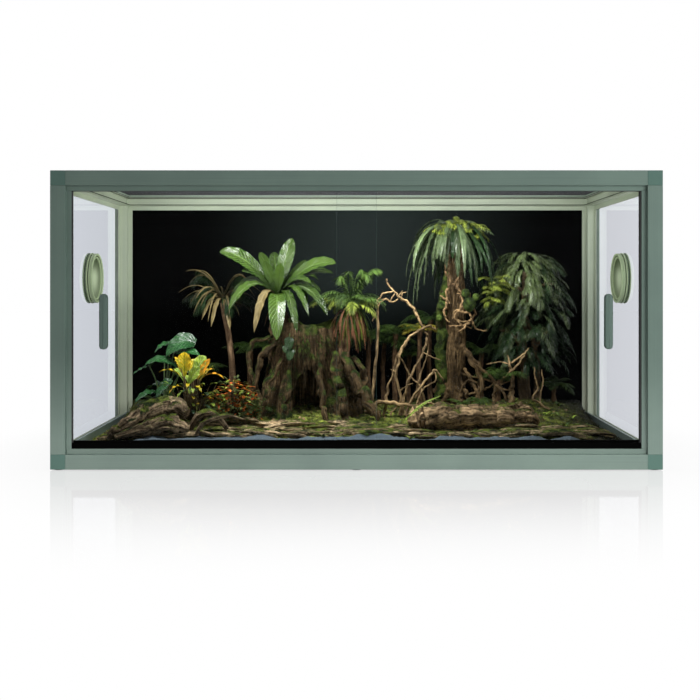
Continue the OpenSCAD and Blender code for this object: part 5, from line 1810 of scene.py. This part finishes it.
class TERRARIUM_OT_palm(bpy.types.Operator):
    """Makes the thin palm behind the stump"""

    bl_idname = "terrarium.palm"
    bl_label = "Small palm"

    def execute(self, context):
        crown = np.array([-322.0, 148.0, 326.0])
        pile = Pile()
        limb(pile, [seated(-306, 150, 8), (-300, 150, 150), (-308, 150, 240), crown],
             [11, 8, 7, 8.5], 70, 16, seed=2, tone=0.8)
        planted(pile, "palm_stem", "bark", "small_palm_trunk", "palm bark")
        pile = Pile()
        chance, between = draws(4)
        tips = ((-426, 130, 350), (-412, 140, 400), (-388, 110, 300), (-258, 128, 372),
                (-232, 140, 352), (-398, 116, 322), (-370, 104, 318), (-276, 110, 334),
                (-404, 150, 372), (-380, 96, 336), (-246, 150, 340), (-268, 132, 386),
                (-352, 100, 282), (-300, 96, 300), (-424, 170, 330), (-396, 190, 400),
                (-344, 236, 340), (-270, 224, 330), (-236, 186, 316), (-384, 214, 340))
        for number, tip in enumerate(tips):
            start = crown + (between(-4, 4), between(-4, 4), between(-4, 6))
            path, sides = bow(start, tip, 26 + 14 * chance.random(), 18)
            sides = turned(path, sides, 0.6)
            blade(pile, path, sides, leaf_widths(18, between(1.6, 3.2), base=0.5, widest=0.4,
                                                 tip=0.1), fold=0.25, thick=0.7, columns=3,
                  tone=between(0.2, 1), ruffle=0.5, phase=number)
            if number % 3 == 2 or number > 12:
                frond(pile, chance, path, sides, 30, 30, lean=0.5, droop=0.7, half=0.05,
                      tone=between(0.2, 0.8), slot=1, start=0.2, stalk=1.2, curl=0.7)
        for _ in range(30):
            turn = between(0, math.tau)
            path, sides = arch(crown, turn, between(30, 80), between(0.2, 1.0),
                               between(-1.5, -0.8), 10)
            blade(pile, path, sides, leaf_widths(10, between(0.8, 2.0), base=0.5, widest=0.4,
                                                 tip=0.1), columns=3, tone=between(0.1, 0.7),
                  slot=0 if chance.random() < 0.6 else 1)
        for tip, half in (((-368, 108, 286), 8), ((-344, 96, 270), 6), ((-300, 100, 262), 7)):
            path, sides = bow(crown, tip, 34, 14)
            blade(pile, path, sides, leaf_widths(14, half, base=0.2), fold=-0.25, thick=0.6,
                  tone=0.9, ruffle=1.2, ruffles=4)
        planted(pile, "palm_fronds", "leaves", "small_palm_crown", "dry leaf", "dark leaf")
        return {"FINISHED"}


def broad_leaves():
    """The broad dark leaves on stalks."""
    pile = Pile()
    foot = seated(-436, -10, 2)
    leaves = (  # blade base, tip, lift, half width, tone, roll towards the front
        ((-364, -20, 236), (-426, -34, 210), 15, 24, 0.35, 1.1),
        ((-421, -6, 236), (-456, -14, 216), 7, 9, 0.8, 0.5),
        ((-410, -30, 216), (-350, -40, 211), 7, 15, 0.55, 0.5),
        ((-404, -30, 186), (-472, -44, 190), 14, 13, 0.6, 0.6),
        ((-462, -42, 188), (-500, -46, 168), 4, 5, 1.0, 0.3),
        ((-412, -40, 156), (-446, -52, 118), 6, 13, 0.4, 0.9),
        ((-440, 20, 190), (-480, 50, 176), 12, 20, 0.2, 0.2),
        ((-420, 30, 214), (-396, 66, 190), 12, 20, 0.2, 0.2),
        ((-450, -30, 128), (-492, -56, 108), 8, 11, 0.3, 0.4),
        ((-400, 0, 168), (-362, 22, 150), 10, 16, 0.15, 0.4),
        ((-456, 16, 140), (-486, 40, 112), 10, 15, 0.1, 0.4),
        ((-430, -44, 112), (-470, -76, 96), 6, 9, 0.3, 0.3),
        ((-446, 34, 128), (-424, 70, 104), 8, 14, 0.1, 0.3))
    for number, (base, tip, lift, half, tone, roll) in enumerate(leaves):
        base = np.array(base, float)
        path, sides = bow(base, tip, lift, 20)
        sides = turned(path, sides, roll)
        blade(pile, path, sides, leaf_widths(20, half, base=0.5, widest=0.36, tip=0.02,
                                             sharp=0.75), fold=0.26, thick=0.7, columns=11,
              tone=tone, ruffle=1.6, ruffles=3.5, phase=number)
        twig(pile, foot, base, 20, [2.6, 1.7, 1.2], count=14, columns=6, knobs=0.05,
             seed=number, tone=0.5, slot=1)
    planted(pile, "broad_leaves", "leaves", "broadleaf_plant", "broad leaf", "leaf stalk")


def croton():
    """The yellow, orange and lime leaves, with a thicket of stems round their foot."""
    pile = Pile()
    chance, between = draws(12)
    foot = seated(-356, -118, 3)
    leaves = (  # base, tip, lift, half width, tone, finish, heading
        ((-371, -124, 172), (-373, -116, 224), 3, 16, 0.9, 0, 1.5),
        ((-352, -120, 170), (-326, -112, 214), 6, 15, 0.3, 2, 1.3),
        ((-342, -126, 166), (-316, -122, 210), 3, 8.5, 0.9, 1, 1.2),
        ((-360, -134, 156), (-334, -138, 190), 6, 13, 0.7, 2, 1.2),
        ((-370, -128, 164), (-424, -134, 182), 12, 6.5, 0.7, 0, None),
        ((-338, -128, 166), (-308, -132, 196), 2, 3.5, 0.9, 2, None),
        ((-338, -128, 164), (-284, -136, 168), 12, 7.5, 0.9, 1, None),
        ((-378, -128, 190), (-392, -124, 214), 2, 5, 0.8, 0, 2.2),
        ((-372, -134, 148), (-400, -146, 138), 9, 5, 0.6, 0, None),
        ((-360, -108, 170), (-350, -90, 206), 6, 12, 0.2, 0, 1.7),
        ((-376, -106, 160), (-402, -86, 184), 8, 10, 0.2, 2, None),
        ((-340, -106, 160), (-312, -86, 184), 8, 10, 0.3, 1, None),
        ((-362, -138, 142), (-384, -154, 124), 8, 4.5, 0.5, 2, None),
        ((-350, -138, 148), (-330, -152, 140), 8, 5, 0.6, 0, None),
        ((-366, -94, 150), (-372, -68, 168), 8, 9, 0.2, 2, None))
    for number, (base, tip, lift, half, tone, finish, heading) in enumerate(leaves):
        base = np.array(base, float)
        path, sides = bow(base, tip, lift, 16, heading)
        blade(pile, path, sides, leaf_widths(16, half, base=0.16, widest=0.55, tip=0.02,
                                             sharp=0.8), fold=0.3, thick=0.7, columns=9,
              tone=tone, slot=finish, ruffle=1.5, ruffles=3.5, phase=number)
        limb(pile, [foot + (between(-12, 12), between(-8, 8), 0),
                    (foot + base) / 2 + (0, 0, 8), base], [1.6, 1.3, 1.0], 12, 6, knobs=0.2,
             seed=number, slot=3)
    for stem in range(90):
        turn = between(0, math.tau)
        start = foot + circled(turn, 16, 12, 0)
        end = start + circled(turn, between(6, 40), between(6, 24), between(26, 88))
        twig(pile, start, end, 8, [1.5, 1.1, 0.5], count=9, columns=5, knobs=0.3, seed=stem,
             tone=0.4, slot=3)
        path, sides = arch(end, turn, between(12, 30), between(-0.2, 0.9), between(-1.2, -0.2), 7)
        blade(pile, path, sides, leaf_widths(7, between(2, 4.6), base=0.2, widest=0.5),
              fold=0.3, tone=between(0, 0.7), slot=chance.choice((0, 2, 2, 4, 4, 4)))
    planted(pile, "yellow_croton", "leaves", "croton_plant", "yellow leaf", "orange leaf",
            "lime leaf", "croton stem", "dark leaf")


def red_bush():
    """The low bush with small red leaves on top."""
    pile = Pile()
    chance, between = draws(3)
    foot = seated(-268, -98, 2)
    for stem in range(34):
        turn = between(0, math.tau)
        out = between(8, 46)
        end = foot + circled(turn, out, 0.8 * out, between(34, 88) * (1.1 - out / 90))
        twig(pile, foot, end, 12, [1.6, 1.1, 0.5], count=9, columns=5, knobs=0.2, seed=stem,
             tone=0.4, slot=3)
    for _ in range(820):
        turn = between(0, math.tau)
        out = 56 * math.sqrt(chance.random())
        height = between(6, 88) * (1.14 - (out / 66) ** 2)
        spot = foot + circled(turn, out, 0.8 * out, height)
        path, sides = arch(spot, turn + between(-1, 1), between(8, 18),
                           between(-0.3, 1.2), between(-0.9, 0.3), 5)
        lively = height > 46 and chance.random() < 0.8
        finish = chance.choice((0, 0, 2, 2, 1, 1) if lively else (1, 1, 1, 1, 0))
        blade(pile, path, sides, between(1.8, 4.0) * np.array([0.3, 0.9, 1, 0.7, 0.06]),
              fold=0.3, thick=0.35, columns=3, tone=chance.random(), slot=finish)
    planted(pile, "red_leaved_bush", "leaves", "red_bush", "red leaf", "olive leaf",
            "lime tip", "twig bark")


class TERRARIUM_OT_left_plants(bpy.types.Operator):
    """Makes the broad dark leaves, the yellow croton and the small red bush at the left"""

    bl_idname = "terrarium.left_plants"
    bl_label = "Left plants"

    def execute(self, context):
        broad_leaves()
        croton()
        red_bush()
        return {"FINISHED"}


class TERRARIUM_OT_trunk_fern(bpy.types.Operator):
    """Makes the fern that hangs from the top of the tall trunk"""

    bl_idname = "terrarium.trunk_fern"
    bl_label = "Hanging fern"

    def execute(self, context):
        pile = Pile()
        chance, between = draws(17)
        crown = np.array([226.0, 70.0, TRUNK_TOP + 38])
        for number in range(104):
            turn = between(0, math.tau)
            outer = number % 2
            start = crown + circled(turn, 22, 16, between(-14, 8))
            length = between(96, 186) if outer else between(80, 205)
            length *= 1.12 if number % 7 == 0 else (0.62, 0.98, 0.8)[number % 3]
            path, sides = arch(start, turn, length, between(-0.1, 1.1), -1.55, 20,
                               between(-0.35, 0.35),
                               between(0.3, 0.5) if outer else between(0.14, 0.28))
            # painted light: fronds turned to the front left, towards the lamps, get a lighter tone
            # and more of the pale finish
            painted_lit_side = math.cos(turn - 3.7)
            tone = min(max(0.36 + 0.4 * painted_lit_side + between(-0.2, 0.2), 0), 1)
            finish = 0 if chance.random() < 0.45 + 0.5 * painted_lit_side else 1
            blade(pile, path, sides, leaf_widths(20, between(2.4, 7.6), base=0.6, widest=0.3,
                                                 tip=0.06, sharp=1), fold=-0.35, tone=tone,
                  slot=finish, ruffle=0.7, ruffles=7, phase=number)
            frond(pile, chance, path, sides, between(15, 22), 26, lean=0.26, droop=0.1, half=0.08,
                  tone=tone, slot=finish, start=0.1, stalk=1.2, curl=0.2)
        for number in range(120):
            off = between(-52, 54)
            start = crown + (off, between(-28, 20), 6 - 0.009 * off * off)
            plume(pile, chance, start, between(0, math.tau), between(22, 54),
                  (between(-0.2, 1.0), between(-1.4, -0.2)), between(9, 15), 7, between(0.3, 1.0),
                  (2, 0, 2, 2)[number % 4], half=0.13, rows=8)
        limb(pile, [crown - (0, 0, 58), crown - (0, 0, 12), crown + (0, 0, 2)], [18, 19, 7], 20,
             18, knobs=0.3, seed=6, tone=0.4, slot=3, ridges=5, ridge=0.1, twist=1)
        planted(pile, "trunk_fern", "leaves", "hanging_fern", "drooping fern leaf", "dark leaf",
                "young leaf", "crown fibre")
        return {"FINISHED"}


class TERRARIUM_OT_weeping_plant(bpy.types.Operator):
    """Makes the tall dark plant whose fronds hang over its stems, at the right"""

    bl_idname = "terrarium.weeping_plant"
    bl_label = "Weeping plant"

    def execute(self, context):
        pile = Pile()
        chance, between = draws(23)
        foot = seated(404, 150, 6)
        limb(pile, [foot, (396, 148, 220), (402, 144, 330), (404, 142, 400)], [15, 11, 9, 6], 70,
             18, knobs=0.2, seed=3, tone=0.3, slot=3, ridges=4, ridge=0.1, twist=2)
        limb(pile, [seated(436, 160, 6), (430, 152, 200), (404, 146, 300)], [9, 7, 5], 50, 12,
             knobs=0.2, seed=4, tone=0.3, slot=3)
        for start, end in (((398, 146, 330), (470, 130, 372)), ((400, 144, 350), (336, 120, 372)),
                           ((402, 142, 320), (420, 200, 380)), ((404, 142, 340), (400, 96, 392)),
                           ((430, 152, 220), (470, 120, 262)), ((396, 148, 220), (340, 130, 262))):
            twig(pile, start, end, 12, [6, 4.5, 3], count=24, columns=9, knobs=0.2, seed=8,
                 tone=0.3, slot=3)
        levels, reaches = (176, 240, 300, 350, 410, 446), (70, 98, 112, 112, 92, 34)
        for _ in range(430):
            height = 182 + 264 * chance.random() ** 0.85
            turn = between(0, math.tau)
            out = between(0.25, 0.78) * np.interp(height, levels, reaches)
            hub = (406, 142, 0) + circled(turn, out, 0.62 * out, height)
            # painted light: fronds turned to the front left and higher up get a lighter tone and
            # more of the olive finish; the rest take the dark leaf
            light = 0.34 + 0.36 * math.cos(turn - 3.9) + 0.003 * (height - 345)
            finish = 0 if chance.random() < light + 0.12 else 1
            plume(pile, chance, hub, turn + between(-0.8, 0.8), between(40, 86),
                  (between(-0.3, 0.9), between(-1.55, -0.9)), between(9, 17), 11, light, finish,
                  half=0.12, lean=0.75, ease=0.55, bend=0.7, rows=12, stalk=0.9)
        for _ in range(34):
            start = (322 + between(-16, 18), 76 + between(-14, 14), 358 + between(-34, 26))
            plume(pile, chance, start, between(0, math.tau), between(18, 40),
                  (between(0.0, 1.1), -0.8), 11, 8, between(0.5, 1.0), 2, half=0.1)
        planted(pile, "weeping_plant", "leaves", "weeping_foliage", "olive fern leaf", "dark leaf",
                "young leaf", "dark stem")
        return {"FINISHED"}


def shoulder_fern(pile, chance):
    """The fern on the stump's right shoulder, with its skirt of dry fronds."""
    between = chance.uniform
    crown = np.array([-14.0, 30.0, 318.0])
    limb(pile, [(-34, 26, 206), (-24, 28, 262), crown], [17, 13, 10], 34, 18, knobs=0.3,
         seed=2, slot=3, ridges=5, ridge=0.15, twist=2)
    for number in range(24):
        turn = math.tau * number / 24 + between(-0.2, 0.2)
        plume(pile, chance, crown, turn, between(70, 118),
              (between(0.6, 1.35), between(-1.4, -0.6)), 22, 22, between(0.1, 0.8),
              0 if number % 3 == 0 else 1, half=0.055, lean=0.95, droop=0.3)
    for tip, lift in (((58, 12, 400), 34), ((18, 4, 392), 40), ((-20, 10, 396), 30),
                      ((34, 0, 376), 44), ((-48, 6, 372), 40)):
        path, sides = bow(crown, tip, lift, 20)
        frond(pile, chance, path, sides, 27, 27, lean=0.9, droop=0.5, half=0.06, tone=0.8,
              slot=1, start=0.1, stalk=1.6, curl=0.5)
    for number in range(170):
        turn = between(2.9, 6.6)
        start = crown + (between(-12, 14), between(-8, 4), between(-30, 4))
        plume(pile, chance, start, turn, between(36, 92), (between(-0.4, 0.8), -1.55),
              between(3, 7), 17, between(0.0, 1), (2, 0, 2, 1)[number % 4], half=0.12,
              lean=0.4, droop=0.2, ease=0.4, stalk=0.8)


class TERRARIUM_OT_shade_ferns(bpy.types.Operator):
    """Makes the ferns on the stump's shoulder, behind the branches and on the ground"""

    bl_idname = "terrarium.shade_ferns"
    bl_label = "Shade ferns"

    def execute(self, context):
        pile = Pile()
        chance, between = draws(31)
        shoulder_fern(pile, chance)
        # The light column is painted light: it sets each clump's tone, lower for most clumps at
        # the rear
        clumps = [  # x, y, height of the crown, reach, fronds, light, finish
            (66, 170, 150, 92, 11, 0.5, 1), (128, 190, 120, 74, 9, 0.4, 1),
            (-392, 170, 80, 78, 10, 0.35, 1), (330, 40, 70, 70, 10, 0.5, 1),
            (92, 120, 168, 76, 11, 0.6, 1), (30, 110, 160, 70, 9, 0.4, 1),
            (150, 110, 175, 60, 8, 0.55, 4), (280, 10, 18, 40, 8, 0.5, 1),
            (236, 6, 14, 36, 7, 0.7, 1), (-220, -30, 14, 42, 8, 0.3, 1),
            (300, 150, 120, 80, 9, 0.3, 1), (480, 170, 40, 60, 9, 0.25, 1),
            (-260, 200, 130, 80, 9, 0.2, 1), (-20, 190, 150, 90, 9, 0.25, 1),
            (-470, 60, 20, 50, 8, 0.3, 1), (180, 200, 200, 80, 9, 0.25, 1)]
        for x, y, rise, reach, count, light, finish in clumps:
            foot = seated(x, y, 3)
            crown = foot + (0, 0, rise + 3)
            if rise > 30:
                limb(pile, [foot, crown - (4, 0, rise / 2), crown], [7, 5.5, 6], 30, 9, knobs=0.25,
                     seed=int(x) % 50, tone=0.3, slot=3)
            for number in range(count):
                turn = math.tau * number / count + between(-0.3, 0.3)
                plume(pile, chance, crown, turn, reach * between(0.8, 1.15),
                      (between(0.5, 1.2), between(-1.1, -0.4)), reach * 0.28, 14,
                      light + between(-0.15, 0.15), finish, half=0.06, lean=1.1, droop=0.15)
        planted(pile, "shade_ferns", "leaves", "small_ferns", "young leaf", "fern leaf",
                "rusty frond", "fern stem", "golden leaf")
        return {"FINISHED"}


class TERRARIUM_OT_climbers(bpy.types.Operator):
    """Makes the creeping leaves on the stump and the seedlings on the ground"""

    bl_idname = "terrarium.climbers"
    bl_label = "Creepers and seedlings"

    def execute(self, context):
        pile = Pile()
        chance, between = draws(41)
        spots = ((-150, -44, 238, 14), (-146, -48, 214, 13), (-160, -48, 226, 8))
        for number, (x, y, z, half) in enumerate(spots):
            path, sides = bow((x, y, z + half), (x + between(-6, 6), y - 8, z - half),
                              3, 12, -math.pi / 2)
            blade(pile, path, sides, leaf_widths(12, half * 0.75, base=0.5, widest=0.32),
                  thick=0.6, columns=7, tone=between(0.2, 0.6), ruffle=0.6, ruffles=2,
                  phase=number)
            limb(pile, [(x, y + 14, z + half + 8), (x, y + 4, z + half + 5), (x, y, z + half)],
                 [0.8, 0.7, 0.6], 8, 5, knobs=0, seed=number, slot=1)
        for _ in range(120):
            x, y = between(-540, 540), between(-222, 240)
            foot = seated(x, y, 1)
            for _ in range(chance.randint(3, 6)):
                turn = between(0, math.tau)
                path, sides = arch(foot, turn, between(9, 20), 1.1, between(-0.5, 0.4), 6)
                blade(pile, path, sides, leaf_widths(6, between(1.6, 3.4), base=0.3, widest=0.5),
                      thick=0.35, columns=3, tone=chance.random(), slot=chance.choice((1, 1, 2)))
        path = smooth_path([(100, -196, 84), (118, -190, 104), (142, -184, 122),
                            (176, -182, 136)], 20)
        sides = np.repeat([[0.2, 0.9, 0.3]], 20, axis=0)
        blade(pile, path, sides, np.linspace(3.2, 0.8, 20), thick=2.0, tone=0.8, slot=2)
        frond(pile, chance, path, sides, 9, 16, lean=1.1, droop=0.3, half=0.22, tone=0.8, slot=2,
              start=0.2, stalk=1.0, curl=0.2)
        planted(pile, "creepers", "leaves", None, "dark leaf", "fern leaf", "seedling leaf")
        return {"FINISHED"}


# ---------- Stage ----------


def area_lamp(name, place, aim, size, power, spread=180, tint=(1, 1, 1)):
    """A rectangular lamp aimed at a point; only those under the lid show in the glass."""
    light = bpy.data.lights.new(name, "AREA")
    light.spread = math.radians(spread)
    light.shape = "RECTANGLE"
    light.size, light.size_y = size
    light.energy = power
    light.color = tint
    lamp = bpy.data.objects.new(name, light)
    lamp.location = place
    direction = Vector(aim) - Vector(place)
    lamp.rotation_euler = direction.to_track_quat("-Z", "Y").to_euler()
    lamp.visible_camera = False
    lamp.visible_glossy = name.endswith("inside_lamp")
    bpy.context.scene.collection.objects.link(lamp)
    return lamp


def link_light(lamp, pieces, state):
    """Makes a lamp light just the pieces, or everything except them."""
    group = bpy.data.collections.new(f"{lamp.name} pieces")
    for piece in pieces:
        group.objects.link(piece)
    for member in group.collection_objects:
        member.light_linking.link_state = state
    lamp.light_linking.receiver_collection = group


def pale_floor():
    """A pale floor that shows white, and mirrors the object faintly in front of it."""
    mesh = bpy.data.meshes.new("floor")
    half = 12
    mesh.from_pydata([(-half, -half, 0), (half, -half, 0), (half, half, 0),
                      (-half, half, 0)], [], [(0, 1, 2, 3)])
    material, tree, shader = start_material("pale floor")
    place = value_of(tree, "ShaderNodeTexCoord", output="Object")
    grain = noise_of(place, 40, 2)
    fill(shader, {"Base Color": blended(tree, grain, (0.80, 0.80, 0.80),
                                        (0.82, 0.82, 0.82)),
                  "Roughness": 0.9, "Specular IOR Level": 0.0})
    white = value_of(tree, "ShaderNodeEmission", {"Color": (1, 1, 1), "Strength": 1.0})
    seen = value_of(tree, "ShaderNodeLightPath", output="Is Camera Ray")
    away = value_of(tree, "ShaderNodeVectorMath", {0: place}, "Value", operation="LENGTH")
    lifted = value_of(tree, "ShaderNodeMixShader", {
        0: seen * ramp(away, 0.55, 0.95, 0.86, 1.0), 1: Value(shader.outputs[0]), 2: white})
    gloss = value_of(tree, "ShaderNodeBsdfGlossy", {"Color": (1, 1, 1), "Roughness": 0.05})
    show_surface(tree, value_of(tree, "ShaderNodeMixShader", {
        0: ramp(axes_of(place)[1], -1.1, -0.3, 0.0, 0.26), 1: lifted, 2: gloss}))
    placed("floor", mesh, material)


def white_world(scene):
    """A white world that lights the object far less than it shows."""
    world = bpy.data.worlds.new("Studio")
    scene.world = world
    world.use_nodes = True
    tree = world.node_tree
    paths = named_values(add(tree, "ShaderNodeLightPath"))
    seen = paths["Is Camera Ray"].maths(
        "MAXIMUM", paths["Is Glossy Ray"].maths("MAXIMUM", paths["Is Transmission Ray"]))
    lighting = 0.18  # its strength as a light; where it is seen, its strength is 1
    fill(tree.nodes["Background"],
         {"Color": (1, 1, 1), "Strength": seen * (1 - lighting) + lighting})


def level_camera(scene, look):
    """A level camera, with its view shifted down to the cabinet."""
    camera = bpy.data.cameras.new("camera")
    camera.lens = look.lens
    camera.sensor_width = 36
    camera.shift_x = -0.0143
    camera.shift_y = -0.0953
    eye = bpy.data.objects.new("camera", camera)
    eye.location = look.camera
    eye.rotation_euler = (math.pi / 2, 0, 0)
    scene.collection.objects.link(eye)
    scene.camera = eye


class TERRARIUM_OT_stage(bpy.types.Operator):
    """Sets the floor, the lamps, the world and the camera"""

    bl_idname = "terrarium.stage"
    bl_label = "Stage"

    lamps = (  # name, place, aim, size, setting of the power, share of it, light on the planting
        ("key_lamp", (1.4, -1.9, 0.75), (0.1, -0.2, 0.25), (1.3, 0.9), "key_power", 1, "EXCLUDE"),
        ("low_lamp", (-0.15, -1.3, 0.10), (-0.15, -0.3, 0.0), (1.9, 0.12), "key_power", 0.045,
         "EXCLUDE", 26, (1.0, 0.84, 0.88)),
        ("top_lamp", (0, 0.1, 1.9), (0, 0, 0.3), (1.4, 1.0), "key_power", 0.76, "EXCLUDE"),
        ("left_inside_lamp", (-0.24, -0.17, UNDER_LID), (-0.16, 0.06, 0.2), (0.09, 0.07),
         "inside_power", 1, "INCLUDE"),
        ("right_inside_lamp", (0.10, -0.16, UNDER_LID), (0.20, 0.06, 0.2), (0.08, 0.06),
         "inside_power", 1, "INCLUDE"),
        ("far_left_inside_lamp", (-0.44, -0.22, 0.5), (-0.38, -0.1, 0.1), (0.1, 0.1),
         "inside_power", 0.3, "INCLUDE"),
        ("far_right_inside_lamp", (0.30, -0.20, UNDER_LID), (0.40, 0.14, 0.38), (0.08, 0.08),
         "inside_power", 0.14, "INCLUDE", 80),
        ("cabinet_lamp", (0.0, -0.17, UNDER_LID), (0.0, 0.06, 0.2), (0.8, 0.1), "inside_power",
         0.56, None),
        ("rear_rail_lamp", (0.0, 0.02, 0.565), (0.0, 0.27, 0.565), (1.0, 0.03), "inside_power",
         0.36, "EXCLUDE"),
        ("ceiling_lamp", (0.0, 0.0, 0.30), (0.0, 0.0, 0.6), (1.0, 0.3), "inside_power", 1,
         "EXCLUDE"))

    def execute(self, context):
        look = context.scene.stage_look
        pale_floor()
        white_world(context.scene)
        planting = [piece for piece in bpy.data.objects if piece.get("planting")]
        for name, place, aim, size, setting, share, linking, *rest in self.lamps:
            lamp = area_lamp(name, place, aim, size, share * getattr(look, setting), *rest)
            if linking:
                link_light(lamp, planting, linking)
        level_camera(context.scene, look)
        context.scene.view_settings.view_transform = "Standard"
        return {"FINISHED"}


# ---------- Panel ----------


PIECES = (
    TERRARIUM_OT_tubes, TERRARIUM_OT_glazing, TERRARIUM_OT_door_gear, TERRARIUM_OT_vents,
    TERRARIUM_OT_lid, TERRARIUM_OT_ground, TERRARIUM_OT_stump, TERRARIUM_OT_trunk,
    TERRARIUM_OT_branches, TERRARIUM_OT_front_wood, TERRARIUM_OT_nest_fern, TERRARIUM_OT_palm,
    TERRARIUM_OT_left_plants, TERRARIUM_OT_trunk_fern, TERRARIUM_OT_weeping_plant,
    TERRARIUM_OT_shade_ferns, TERRARIUM_OT_climbers, TERRARIUM_OT_stage)


class TERRARIUM_PT_looks(bpy.types.Panel):
    """Lists the settings and the pieces of the terrarium"""

    bl_idname = "TERRARIUM_PT_looks"
    bl_label = "Terrarium"
    bl_space_type = "VIEW_3D"
    bl_region_type = "UI"
    bl_category = "Terrarium"

    def draw(self, context):
        for group in ("cabinet_look", "planting_look", "stage_look"):
            settings = getattr(context.scene, group)
            for name in settings.bl_rna.properties.keys():
                if name not in ("rna_type", "name"):
                    self.layout.prop(settings, name)
        for piece in PIECES:
            self.layout.operator(piece.bl_idname)


CLASSES = (CabinetLook, PlantingLook, StageLook, *PIECES, TERRARIUM_PT_looks)


def register():
    for entry in CLASSES:
        bpy.utils.register_class(entry)
    bpy.types.Scene.cabinet_look = PointerProperty(type=CabinetLook)
    bpy.types.Scene.planting_look = PointerProperty(type=PlantingLook)
    bpy.types.Scene.stage_look = PointerProperty(type=StageLook)


def unregister():
    del bpy.types.Scene.stage_look
    del bpy.types.Scene.planting_look
    del bpy.types.Scene.cabinet_look
    for entry in reversed(CLASSES):
        bpy.utils.unregister_class(entry)


def main():
    register()
    for piece in PIECES:
        getattr(bpy.ops.terrarium, piece.bl_idname.split(".")[1])()


if __name__ == "__main__":
    main()
